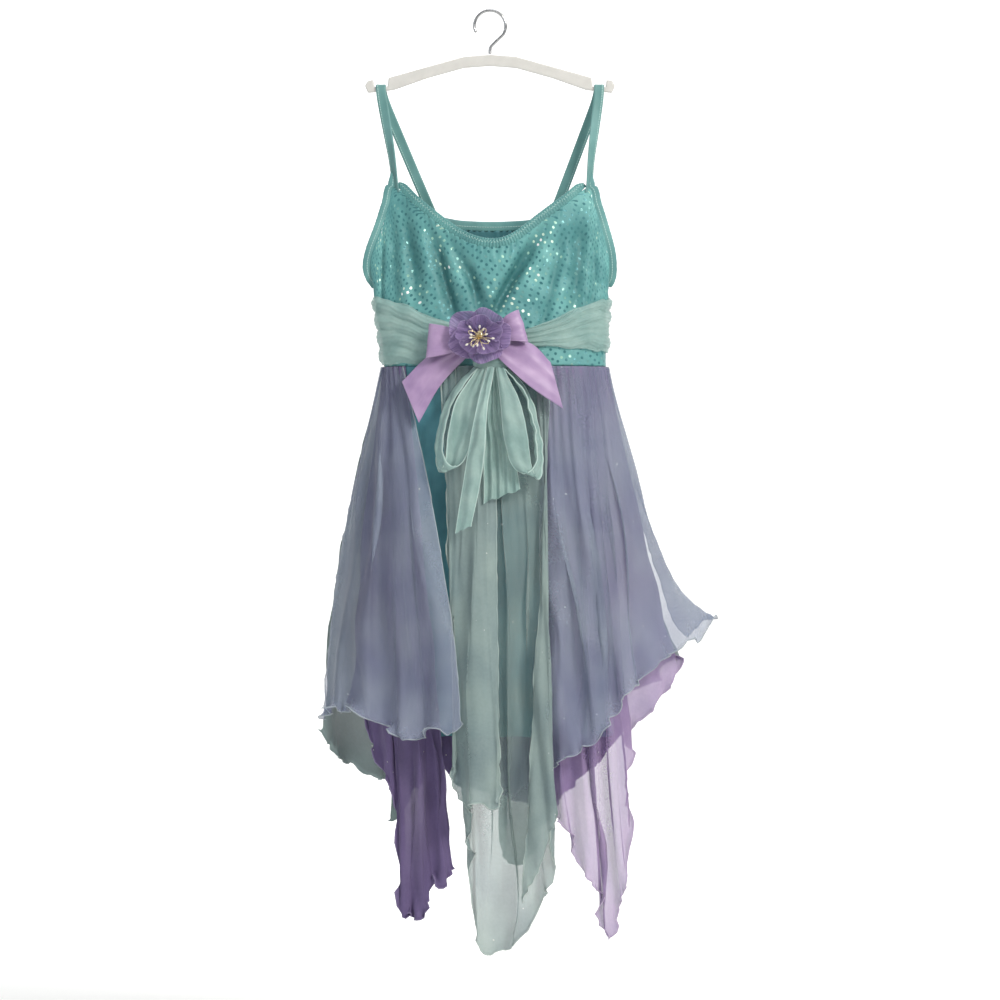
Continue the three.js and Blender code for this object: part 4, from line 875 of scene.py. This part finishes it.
# tied ends, from the knot outwards: x, depth, drop, way of the width, width
loopLeft = [
    (-14, -49.5, 358.4, 0.4, -0.85, -0.2, 8), (-33, -54, 381, 0.4, -0.9, 0, 13),
    (-45, -60, 410, 0.4, -0.9, 0, 16), (-49, -66, 440, 0.45, -0.85, 0, 17),
    (-43, -70, 458, 0.7, -0.6, 0.3, 19), (-34, -75, 449, 0.9, -0.3, 0.2, 21),
    (-28, -74, 420, 1, -0.1, 0.1, 25), (-22, -67, 390, 1, 0, 0.1, 22), (-8, -52.0, 358, 1, 0, 0.1, 9),
]
loopRight = [
    (16, -49.5, 358.4, -0.4, -0.85, -0.2, 8), (35, -54, 380, -0.4, -0.9, 0, 13),
    (45, -60, 412, -0.4, -0.9, 0, 16), (49, -66, 448, -0.45, -0.85, 0, 18),
    (41, -71, 465, -0.7, -0.6, 0.3, 20), (31, -76, 454, -0.9, -0.3, 0.2, 22),
    (25, -75, 424, -1, -0.1, 0.1, 24), (20, -67, 392, -1, 0, 0.1, 20), (10, -51.9, 358, -1, 0, 0.1, 8),
]
tailLeft = [
    (1, -52.0, 357, 1, 0, 0, 7), (-8, -78, 400, 1, -0.1, 0, 11), (-13, -84, 440, 0.95, -0.3, 0, 17),
    (-19, -84, 478, 0.97, -0.2, 0.15, 18), (-26, -83, 515, 0.97, -0.1, 0.2, 16),
]
tailRight = [
    (3, -47.8, 361.4, 1, 0, 0, 16), (5, -57, 400, 1, 0, 0, 22), (9, -62, 440, 1, 0, 0, 30),
    (12, -66, 480, 0.99, 0, 0.13, 36),
]


def tableGrid(rows, perSpan, columns):  # a strip's face from its table, with its frames
    t = stations(len(rows) - 1, perSpan, (0.15, 0.4))
    path = along(place(rows), t)
    across = unit(along(unit(np.array([r[3:6] for r in rows], float)), t))
    width = along(np.array([[r[6], 0, 0] for r in rows], float), t)[:, 0]
    tangent = unit(np.gradient(path, axis=0))
    up = unit(np.cross(tangent, across))
    s = np.linspace(-1, 1, columns)
    grid = path[:, None] + across[:, None] * (s[None, :, None] * width[:, None, None] / 2)
    run = lengthAlong(path)
    return grid, up, s, run, width


def gatheredStrip(name, rows, node, cut, area, pleats, seed, swell=0.16, fan=0.0, rests=("sash_knot",)):
    grid, up, s, run, width = tableGrid(rows, 9, 49)
    drift = unevenness(run[:, None], 6 * s[None], seed, 60)
    pleat = (0.5 + 0.035 * width[:, None]) * np.sin(math.pi * pleats * (s[None] + 0.22 * drift) + seed)
    bowed = swell * width[:, None] * (1 - s[None] ** 2)
    soft = 0.7 * unevenness(run[:, None], 8 * s[None], seed + 1, 24)
    hold = np.clip(run / 14, 0.35, 1)[:, None]
    grid = grid + up[:, None] * ((pleat + soft) * hold + bowed)[..., None]
    if fan:  # one side of the end hangs lower
        low = np.clip((run - run[-1] * 0.6) / (run[-1] * 0.4), 0, 1)[:, None]
        grid[..., 2] -= fan * low**2 * (0.5 - 0.5 * s[None] + 0.12 * np.sin(7 * s[None] + seed))
    toSide = width[:, None] / 2 * (1 - np.abs(s[None]))
    edge = np.exp(-(toSide / 0.8) ** 2)
    piece = clothShell(name, grid, 0.55 + 0.35 * edge, sashChiffon, outwards=towardsFront, hem=edge)
    return fit(piece, node, "mint_chiffon", flat=cut, area=area, held="hung", rests_on=list(rests))


def softKnot(name, centre, half, ribs, seed, material):
    rows, around = 34, 72
    tilt = np.linspace(0.04, math.pi - 0.04, rows)[:, None]
    turn = np.linspace(0, fullTurn, around, endpoint=False)[None]
    rib = 1 + 0.07 * np.sin(ribs * turn + 1.5 * np.sin(2 * tilt + seed)) * np.sin(tilt)
    x = centre[0] + half[0] * signedPower(np.cos(tilt), 0.8) * np.ones_like(turn)
    y = centre[1] + half[1] * np.sin(tilt) * np.cos(turn) * rib
    z = -centre[2] + half[2] * np.sin(tilt) * np.sin(turn) * rib
    grid = np.stack([x, y, z], -1)
    flat = np.stack([arcAcross(grid), arcAlong(grid), np.zeros((rows, around))], -1).reshape(-1, 3)
    return makePiece(name, grid.reshape(-1, 3), tubeFaces(rows, around), flat, material)


sashWrap()
knot = softKnot("sashKnot", (1, -47.2, 353), (18, 4.2, 8), 7, 0.4, sashChiffon)
fit(knot, "sash_knot", "mint_chiffon", flat=(0.036, 0.018), held="folded", rests_on=["sash_wrap"])
gatheredStrip("sashLoopLeft", loopLeft, "sash_loop_left", (0.024, 0.25), 0.0048, 1.7, 41)
gatheredStrip("sashLoopRight", loopRight, "sash_loop_right", (0.024, 0.25), 0.0048, 1.5, 43)
gatheredStrip("sashTailLeft", tailLeft, "sash_tail_left", (0.020, 0.165), 0.0030, 1.4, 45, 0.12, 4)
gatheredStrip("sashTailRight", tailRight, "sash_tail_right", (0.048, 0.125), 0.0050, 4.2, 47, 0.06, 9)
print("stage: sash")


satin = {"width": 38, "thick": 0.5, "selvedge": 0.3}
bowLoopLeft = [
    (-26.7, -50.5, 330, 0.1, 0, 1, 18), (-44, -54.5, 331, 0.1, 0.1, 1, 28),
    (-57, -53, 331, 0.1, 0.1, 1, 33), (-61, -49.5, 331, 0.1, 0.1, 1, 34),
    (-57, -46.2, 331, 0.1, 0, 1, 33), (-42, -46, 331, 0.1, 0, 1, 27), (-26.7, -46, 330, 0.1, 0, 1, 18),
]
bowLoopRight = [
    (9.5, -50.5, 323, -0.1, 0, 1, 16), (20, -54.5, 319, -0.3, 0.1, 1, 26),
    (29, -54, 317, -0.3, 0.1, 1, 32), (33, -50, 316, -0.3, 0.1, 1, 33),
    (29, -46.5, 317, -0.3, 0, 1, 32), (19, -46, 319, -0.3, 0, 1, 25), (9.5, -46.5, 323, -0.1, 0, 1, 16),
]
bowTailLeft = {"near": [(-29, -39.6, 331), (-60, -41, 345), (-87, -42, 371)],
    "far": [(-18, -41.5, 342), (-48, -47, 374), (-70, -52, 412)]}
bowTailRight = {"near": [(10.4, -42.3, 329), (40, -43, 333), (60, -46, 352)],
    "far": [(5, -52.4, 345), (38, -58, 375), (72, -58, 398)]}


def selvedged(s):  # the woven edge is a little thicker
    return satin["thick"] + satin["selvedge"] * np.clip((np.abs(s) - 0.94) / 0.05, 0, 1)


def bowLoop(name, rows, node, cut, seed):
    grid, up, s, run, width = tableGrid(rows, 12, 45)
    fromKnot = np.minimum(run, run[-1] - run)[:, None]
    pinch = 1.5 * np.exp(-fromKnot / 13) * np.cos(math.pi * 2.6 * s[None] + seed)
    pinch = pinch + 0.5 * unevenness(run[:, None], 12 * s[None], seed, 24)
    grid = grid + up[:, None] * pinch[..., None]
    piece = clothShell(name, grid, selvedged(s)[None], satinRibbon, outwards=towardsFront)
    return fit(piece, node, "satin_ribbon", flat=cut, held="folded", rests_on=["bow_knot"])


def bowTail(name, edges, node, seed, bends):
    t = stations(2, 26, (0.2, 0.5))
    near, far = along(place(edges["near"]), t), along(place(edges["far"]), t)
    s = np.linspace(-1, 1, 41)
    mix = (s[None, :, None] + 1) / 2
    grid = near[:, None] * (1 - mix) + far[:, None] * mix
    reach = (t / 2)[:, None]
    grid[..., 1] -= 1.5 * (1 - s[None] ** 2)
    for at, wide, high in bends:  # soft lengthwise bends from the knot
        grid[..., 1] -= high * np.exp(-((s[None] - at) / wide) ** 2) * (1.1 - 0.6 * reach)
    grid[..., 1] -= 0.5 * unevenness(arcAlong(grid), 10 * s[None], seed, 40)
    piece = clothShell(name, grid, selvedged(s)[None], satinRibbon, outwards=towardsFront)
    return fit(piece, node, "satin_ribbon", flat=(0.038, 0.078), area=0.0026, held="hung",
               rests_on=["bow_knot"])


def bowKnot():
    centre, half, height = (-8.5, -46.2, 326), (16.9, 6.5), 14
    lift = np.linspace(-1, 1, 22)
    path = np.stack([np.full(22, centre[0]), np.full(22, centre[1]), -centre[2] + lift * height / 2], -1)
    base = roundSection(half[0], half[1], 64, 0.5)
    turn = np.linspace(0, fullTurn, 64, endpoint=False)
    pleats = 1 + 0.03 * np.sin(9 * turn)[None] * np.ones((22, 1))
    close = 1 - 0.12 * np.abs(lift[:, None]) ** 4
    section = base[None] * (pleats * close)[..., None]
    across = np.broadcast_to(np.array([1.0, 0.0, 0.0]), path.shape)
    piece = sweepPiece("bowKnot", path, across, section, satinRibbon)
    return fit(piece, "bow_knot", "satin_ribbon", flat=(0.078, 0.014), held="gathered",
               rests_on=["sash_wrap"])


bowKnot()
bowLoop("bowLoopLeft", bowLoopLeft, "bow_loop_left", (0.034, 0.068), 3)
bowLoop("bowLoopRight", bowLoopRight, "bow_loop_right", (0.034, 0.048), 5)
bowTail("bowTailLeft", bowTailLeft, "bow_tail_left", 7, ((-0.35, 0.3, 2.6), (0.5, 0.3, 1.6)))
bowTail("bowTailRight", bowTailRight, "bow_tail_right", 9, ((-0.5, 0.5, 4.2), (0.55, 0.25, 0.9)))

flower = {"x": -10, "drop": 326, "depth": -56.8, "squash": 0.85}
petalRounds = [
    {"name": "flowerOuterPetals", "node": "flower_outer_petals", "petals": 5, "inner": 4.5, "outer": 33.5,
        "back": 0, "dish": 5, "turn": 0.35, "cut": (0.135, 0.030)},
    {"name": "flowerInnerPetals", "node": "flower_inner_petals", "petals": 5, "inner": 4.5, "outer": 24,
        "back": 5, "dish": 8, "turn": 0.0, "cut": (0.095, 0.022)},
]


def petal(spot, heading, halfAngle, seed):
    rows, columns = 26, 45
    r = np.linspace(0, 1, rows)[:, None]
    s = np.linspace(-1, 1, columns)[None]
    draw = np.random.default_rng(seed)
    size = spot["outer"] * draw.uniform(0.9, 1.02)
    tip = 1 - 0.26 * np.abs(s) ** 2.4 + 0.035 * np.sin(6 * s + seed)
    radius = spot["inner"] + (size * tip - spot["inner"]) * r
    angle = heading + halfAngle * s * (0.55 + 0.45 * np.sin(math.pi * 0.5 * r))
    gather = 0.9 * np.sin(12 * s + seed) * (1 - r) ** 1.2 + 0.4 * np.sin(27 * s + 2 * seed) * (1 - r)
    ruffle = 2.1 * r**2.5 * np.sin(5.2 * s + 2 * seed) + 0.8 * r**3 * np.sin(13 * s + seed)
    depth = flower["depth"] - spot["back"] - spot["dish"] * r**2 - 3.6 * r**2 * s**2 - 1.5 * s * r
    depth = depth + gather + ruffle
    x = flower["x"] + radius * np.sin(angle)
    z = -flower["drop"] + flower["squash"] * radius * np.cos(angle)
    grid = np.stack([x, depth * np.ones_like(x), z], -1)
    rim = 0.3 + 0.35 * np.clip((r - 0.965) / 0.03, 0, 1) * np.ones_like(s)  # heat-sealed edge
    points, faces, flat = shellParts(grid, rim, towardsFront)
    return points, faces.tolist(), flat


def petalRound(spot, seed):
    count = spot["petals"]
    headings = spot["turn"] + fullTurn * np.arange(count) / count
    parts = [petal(spot, heading, 1.25 * math.pi / count, seed + i) for i, heading in enumerate(headings)]
    piece = joinedPiece(spot["name"], parts, purpleOrganza)
    return fit(piece, spot["node"], "organza", flat=spot["cut"], held="gathered", rests_on=["bow_knot"])


def wire(points, radius, around=8):
    t = stations(len(points) - 1, 6)
    path = along(np.array(points, float), t)
    across = np.cross(np.gradient(path, axis=0), np.array([0.31, 0.83, 0.46]))
    return sweepParts(path, across, roundSection(radius, radius, around, 1.0))


def bead(centre, along3, radius, length):
    tilt = np.linspace(0.05, math.pi - 0.05, 12)
    axis = unit(np.array(along3, float))
    path = np.array(centre)[None] - axis[None] * (length / 2 * np.cos(tilt))[:, None]
    side = unit(np.cross(axis, np.array([0.2, 0.5, 0.9])))
    section = roundSection(1, 1, 14, 1.0)[None] * (radius * np.sin(tilt))[:, None, None]
    lift = np.cross(axis, side)
    return sweepParts(path, np.broadcast_to(side, path.shape), section, np.broadcast_to(lift, path.shape))


stamens = {"count": 12, "wire": 0.3, "bead": 1.05, "long": 3.4, "loops": 4}


def stamenParts():
    draw = np.random.default_rng(77)
    root = np.array([flower["x"] - 1, flower["depth"] - 19, -flower["drop"] - 3])
    wires, beads = [], []
    for i in range(stamens["count"]):
        heading = fullTurn * (i + draw.uniform(-0.3, 0.3)) / stamens["count"]
        reach, out = draw.uniform(7, 15), draw.uniform(3.5, 9)
        way = np.array([math.sin(heading), 0, 0.85 * math.cos(heading)])
        middle = root + way * reach * 0.45 + np.array([0, -out * 0.8, 0])
        end = root + way * reach + np.array([0, -out, 0])
        wires.append(wire([root, middle, end], stamens["wire"]))
        beads.append(bead(end + (end - middle) * 0.15, end - middle, stamens["bead"], stamens["long"]))
    for i in range(stamens["loops"]):
        heading = fullTurn * (i + 0.4) / stamens["loops"]
        way = np.array([math.sin(heading), 0, 0.85 * math.cos(heading)])
        beside = np.array([math.cos(heading), 0, -0.85 * math.sin(heading)])
        half, far = root + way * 6 + [0, -6, 0], root + way * 12 + [0, -8, 0]
        ring = [root, half + beside * 3, far, half - beside * 3, root]
        wires.append(wire(ring, stamens["wire"] * 1.3))
    return wires, beads


for number, spot in enumerate(petalRounds):
    petalRound(spot, 60 + 10 * number)
wires, beads = stamenParts()
fit(joinedPiece("flowerStamens", wires, giltWire), "flower_stamens", "gilt")
fit(joinedPiece("stamenBeads", beads, pearlBead), "flower_stamens", "gilt")
profile = [(0.05, 0), (3.6, 0.2), (3.6, 17), (3.9, 18), (4.1, 19.4), (3.9, 21), (3.2, 22.2), (2.0, 23),
    (0.3, 23.4)]
bossPath = np.array([(flower["x"], flower["depth"] + 3.4 - out, -flower["drop"]) for _, out in profile])
ribbed = 1 + 0.05 * np.sin(10 * np.linspace(0, fullTurn, 40, endpoint=False))[:, None]
bossSection = np.stack([roundSection(r, r, 40, 1.0) * ribbed for r, _ in profile])
across, rise = (np.broadcast_to(np.eye(3)[axis], bossPath.shape) for axis in (0, 2))
fit(sweepPiece("flowerBoss", bossPath, across, bossSection, giltWire, rise=rise), "flower_boss", "gilt")
print("stage: bow and flower")


skirt = {
    "thick": 0.32, "perSpan": 9, "rows": 52, "top": 355.3, "hem": 0.75, "hemMm": 1.1,
    "gatherMm": 7.4, "pleatMm": 14.5, "lap": 1.2, "lift": 0.38,
    "drape": 3.0, "ripple": 2.0, "rippleMm": 17, "curl": 6, "curlTurn": 2.3, "sideMm": 50, "fullerMm": 90,
}
# each column: waist angle, then x, depth and drop of its own point on the hem, and how early it flares
panels = [
    {"name": "skirtOverLeft", "node": "skirt_over_left", "cloth": "mint", "outset": 3.8, "pleatMm": 22,
        "curl": 13, "flat": (0.21, 0.38), "area": 0.054, "columns": [
        (-51, -28, -92, 709, 1.5), (-55, -46, -98, 718, 1.4), (-59, -68, -88, 720, 1.4),
        (-63, -90, -92, 719, 1.3), (-67, -106, -76, 708, 1.3), (-72, -122, -74, 702, 1.4),
        (-77, -138, -54, 697, 1.5), (-83, -152, -46, 700, 1.6), (-90, -160, -18, 703, 1.6),
        (-99, -166, 6, 708, 1.6)]},
    {"name": "skirtOverCentreShort", "node": "skirt_over_centre_short", "cloth": "mintFull", "outset": 6.5,
        "pleatMm": 19, "flat": (0.10, 0.43), "area": 0.026, "columns": [
        (-24, -30, -86, 738, 1.2), (-19, -36, -90, 768, 1.2), (-14, -20, -98, 786, 1.2),
        (-9, -8, -106, 784, 1.2), (-4, 4, -100, 788, 1.2), (0, 9, -92, 770, 1.2)]},
    {"name": "skirtOverCentreLong", "node": "skirt_over_centre_long", "cloth": "mintFull", "outset": 5.2,
        "pleatMm": 21, "fullerMm": 190, "flat": (0.20, 0.58), "area": 0.078, "columns": [
        (-16, -25, -76, 790, 1), (-12, -19, -72, 868, 1), (-8, -8, -77, 930, 1), (-3, 12, -71, 931, 1),
        (3, 27, -77, 922, 1), (9, 50, -71, 886, 1), (14, 59, -80, 860, 1), (18, 64, -88, 795, 1),
        (21, 60, -99, 812, 1), (23, 46, -103, 850, 1), (25, 32, -100, 880, 1)]},
    {"name": "skirtOverRight", "node": "skirt_over_right", "cloth": "mint", "outset": 3.8, "pleatMm": 19,
        "sideMm": 95, "flat": (0.27, 0.42), "area": 0.060, "columns": [
        (19.6, 47, -60, 756, 1), (24, 70, -74, 746, 1), (30, 91, -74, 734, 1), (36, 108, -84, 719, 1),
        (42, 120, -72, 700, 1), (48, 130, -76, 685, 1), (54, 146, -60, 668, 1), (60, 160, -58, 655, 1),
        (67, 175, -44, 643, 1), (74, 192, -36, 634, 0.9), (80, 210, -24, 624, 0.7),
        (86, 227, -8, 610, 0.52), (92, 214, 4, 612, 0.56), (98, 198, 13, 628, 0.66)]},
    {"name": "skirtOverBackLeft", "node": "skirt_over_back_left", "cloth": "mintBack", "outset": 3.8,
        "flat": (0.29, 0.46), "area": 0.075, "columns": [
        (-100, -169, 10, 720, 1.7), (-104, -155, 24, 744, 1.5), (-108, -146, 38, 752, 1.4),
        (-116, -122, 46, 770, 1.2), (-124, -104, 66, 778, 1.1), (-131, -97, 62, 816, 1),
        (-138, -80, 78, 792, 1), (-146, -60, 72, 760, 1), (-154, -42, 86, 742, 1),
        (-163, -24, 78, 730, 1), (-172, -8, 90, 726, 1), (-179, 8, 84, 730, 1)]},
    {"name": "skirtOverBackRight", "node": "skirt_over_back_right", "cloth": "mintFull", "outset": 3.8,
        "flat": (0.29, 0.51), "area": 0.077, "columns": [
        (101, 192, 24, 650, 0.8), (107, 176, 44, 656, 1), (114, 168, 44, 675, 1),
        (122, 150, 64, 682, 1), (130, 126, 60, 695, 1), (138, 104, 78, 730, 1), (146, 84, 72, 775, 1),
        (154, 62, 86, 815, 1), (161, 42, 80, 850, 1), (168, 24, 92, 862, 1), (174, 14, 86, 850, 1),
        (179, 11, 93, 800, 1)]},
    {"name": "skirtUnderLeft", "node": "skirt_under_left", "cloth": "lilacDouble", "outset": 2.3,
        "flat": (0.17, 0.55), "area": 0.064, "columns": [
        (-50, -39, -60, 850, 1.2), (-53, -47, -68, 868, 1.2), (-56, -56, -62, 861, 1.2),
        (-59, -64, -70, 893, 1.2), (-62, -76, -62, 898, 1.2), (-66, -88, -66, 890, 1.2),
        (-70, -92, -54, 800, 1.2), (-75, -100, -52, 768, 1.2), (-81, -112, -38, 738, 1.2),
        (-88, -126, -26, 706, 1.1), (-96, -140, -4, 690, 1.1), (-105, -132, 12, 692, 1.1)]},
    {"name": "skirtUnderRight", "node": "skirt_under_right", "cloth": "lilac", "outset": 2.3,
        "fullerMm": 170, "flat": (0.25, 0.57), "area": 0.088, "columns": [
        (17, 61, -50, 800, 1), (21, 72, -58, 812, 1), (25, 84, -50, 842, 1), (29, 98, -58, 864, 1),
        (33, 110, -50, 886, 1), (37, 117, -56, 920, 1), (41, 125, -46, 898, 1), (45, 134, -50, 866, 1),
        (50, 138, -38, 800, 1), (55, 135, -40, 765, 1), (60, 142, -30, 744, 1), (66, 134, -28, 728, 1),
        (73, 152, -20, 708, 1), (81, 170, -12, 686, 1), (89, 186, 0, 660, 0.9), (98, 170, 10, 640, 0.9),
        (107, 150, 22, 660, 1)]},
    {"name": "skirtUnderBack", "node": "skirt_under_back", "cloth": "lilacDouble", "outset": 2.3,
        "flat": (0.34, 0.45), "area": 0.112, "columns": [
        (112, 138, 38, 716, 1), (122, 116, 40, 745, 1), (132, 92, 54, 772, 1), (142, 68, 48, 792, 1),
        (153, 42, 60, 802, 1), (164, 16, 54, 792, 1), (175, -8, 64, 786, 1), (186, -27, 56, 782, 1),
        (197, -47, 60, 765, 1), (208, -68, 50, 742, 1), (219, -88, 50, 725, 1), (230, -106, 36, 712, 1),
        (242, -120, 28, 702, 1)]},
]
cloths = {"mint": mintChiffon, "mintFull": mintGathered, "mintBack": mintInShade, "lilac": lilacChiffon,
    "lilacDouble": lilacBunchedShaded}


def skirtPanel(panel, seed):
    columns = np.array(panel["columns"], float)
    start = ringPoint(columns[:, 0], panel["outset"], drop=skirt["top"])
    hem = place(columns[:, 1:4])
    share = stations(1, skirt["rows"], (0.05, 0.15, 0.35, 0.65))[:, None]
    flare = (1 - (1 - share) ** columns[:, 4][None])[..., None]
    control = start[None] + (hem - start)[None] * flare
    control[..., 2] = start[:, 2] + (hem[:, 2] - start[:, 2])[None] * share
    t = stations(len(columns) - 1, skirt["perSpan"], (0.05, 0.15, 0.35, 0.65))
    grid = along(control, t)
    out = facing(grid, fromWaist)
    down, across = arcAlong(grid), arcAcross(grid)
    fromHem = down[-1:] - down
    fromSide = np.minimum(across - across[:, :1], across[:, -1:] - across)
    atWaist = arcAcross(grid[:1])[0][None]
    stray = unevenness(atWaist, down * 0.12, seed, 26)
    gather = np.sin(fullTurn * atWaist / skirt["gatherMm"] + 1.3 * stray)
    gather = (0.22 + 1.15 * np.exp(-6 * share)) * gather
    apart = panel.get("pleatMm", skirt["pleatMm"])
    turn = fullTurn * atWaist / apart + seed + 2.0 * unevenness(atWaist, down * 0.16, seed + 1, 62)
    spread = np.minimum((across[:, -1:] - across[:, :1]) / (across[0, -1] - across[0, 0]), 1.9)
    size = apart * spread / fullTurn * np.clip(share * 2.2, 0, 1) * np.clip(fromSide / 10, 0.12, 1)
    size = size * (0.75 + 0.5 * unevenness(atWaist, down * 0.1, seed + 6, 45))
    pleat = skirt["lift"] * size * np.sin(turn)
    sideways = skirt["lap"] * size * np.cos(turn)  # cloth doubles back on itself in the fuller folds
    drape = skirt["drape"] * share * unevenness(across, down * 0.3, seed + 2, 64)
    drape = drape + 0.35 * share * unevenness(across, down * 0.5, seed + 3, 15)
    wander = 1.8 * unevenness(across, down, seed + 4, 40)
    ripple = skirt["ripple"] * np.sin(fullTurn * (across + 0.5 * down) / skirt["rippleMm"] + wander)
    ripple = ripple * np.exp(-np.minimum(fromHem, fromSide * 1.5 + 4) / 7) * np.clip(share * 3, 0, 1)
    grid = grid + out * (gather + pleat + drape + ripple)[..., None]
    grid = grid + unit(np.gradient(grid, axis=1)) * sideways[..., None]
    grid[..., 2] += (1.6 * unevenness(across, 0 * down, seed + 5, 30)) * np.clip(share * 6 - 5, 0, 1) ** 2
    curl = panel.get("curl", skirt["curl"])  # the hem rolls up towards the front
    near = np.clip(1 - fromHem / curl, 0, 1)
    most = skirt["curlTurn"] * np.clip(0.5 + 1.1 * unevenness(across, 0 * down, seed + 8, 48), 0.05, 1)
    grid = grid + out * (curl * (1 - np.cos(near * most)) / most)[..., None]
    grid[..., 2] += curl * (near - np.sin(near * most) / most)
    inwards = np.minimum(fromHem, fromSide)
    # the cloth looks denser near its edges, where it lies in closer folds
    nearSide = np.exp(-(inwards / panel.get("sideMm", skirt["sideMm"])) ** 2)
    nearHem = 0.8 * np.exp(-(fromHem / panel.get("fullerMm", skirt["fullerMm"])) ** 2)
    fuller = 0.35 * np.maximum(nearSide, nearHem) * np.clip(share * 4, 0, 1)
    rolled = np.exp(-(inwards / skirt["hemMm"]) ** 2)
    thick, edge = skirt["thick"] + skirt["hem"] * rolled, np.maximum(rolled, fuller)
    piece = clothShell(panel["name"], grid, thick, cloths[panel["cloth"]], hem=edge)
    slotName = "mint_chiffon" if panel["cloth"].startswith("mint") else "lilac_chiffon"
    return fit(piece, panel["node"], slotName, flat=panel["flat"], area=panel["area"], held="hung",
               rests_on=["bodice_front", "bodice_back"])


lining = {"outset": 0.6, "halfWidth": 116, "halfDepth": 32, "drop": 723, "long": 368, "waves": 9, "wave": 3,
    "rows": 60, "around": 300, "thick": 0.4}


def skirtLining():
    angle = np.linspace(0, 360, lining["around"], endpoint=False)
    start = ringPoint(angle, lining["outset"], drop=skirt["top"])
    hem = ringPoint(angle, 0, lining["halfWidth"], lining["halfDepth"], lining["drop"])
    share = stations(1, lining["rows"], (0.1, 0.3, 0.6))[:, None]
    grid = start[None] + (hem - start)[None] * share[..., None]
    out = fromWaist(np.broadcast_to(hem, grid.shape).copy())
    ring = np.cumsum(np.linalg.norm(np.diff(hem, axis=0, prepend=hem[-1:]), axis=1))[None]
    down = lining["long"] * share
    wave = share * lining["wave"] * np.cos(np.radians(lining["waves"] * angle))[None]
    pleats = np.round(ring[0, -1] / 7)
    fine = 0.25 * np.sin(fullTurn * pleats * angle / 360)[None] * (1 - 0.6 * share)
    soft = 1.2 * share * np.sin(np.radians(23 * angle))[None] * (0.6 + 0.4 * np.sin(down / 60))
    grid = grid + out * (wave + fine + soft)[..., None]
    grid[..., 2] += 1.0 * np.sin(np.radians(14 * angle))[None] * np.clip(share * 6 - 5, 0, 1)
    turned = np.clip((share - 0.968) / 0.004, 0, 1)  # a turned hem, 12 mm deep
    hemmed = lining["thick"] + 0.5 * turned * np.ones_like(ring)
    piece = clothShell("skirtLining", grid, hemmed, liningTricot, closed=True)
    return fit(piece, "skirt_lining", "plain_knit", flat=(0.52, 0.37), area=0.188, held="hung",
               rests_on=["bodice_front", "bodice_back"])


for number, panel in enumerate(panels):
    skirtPanel(panel, 101 + 7 * number)
skirtLining()
print("stage: skirt")
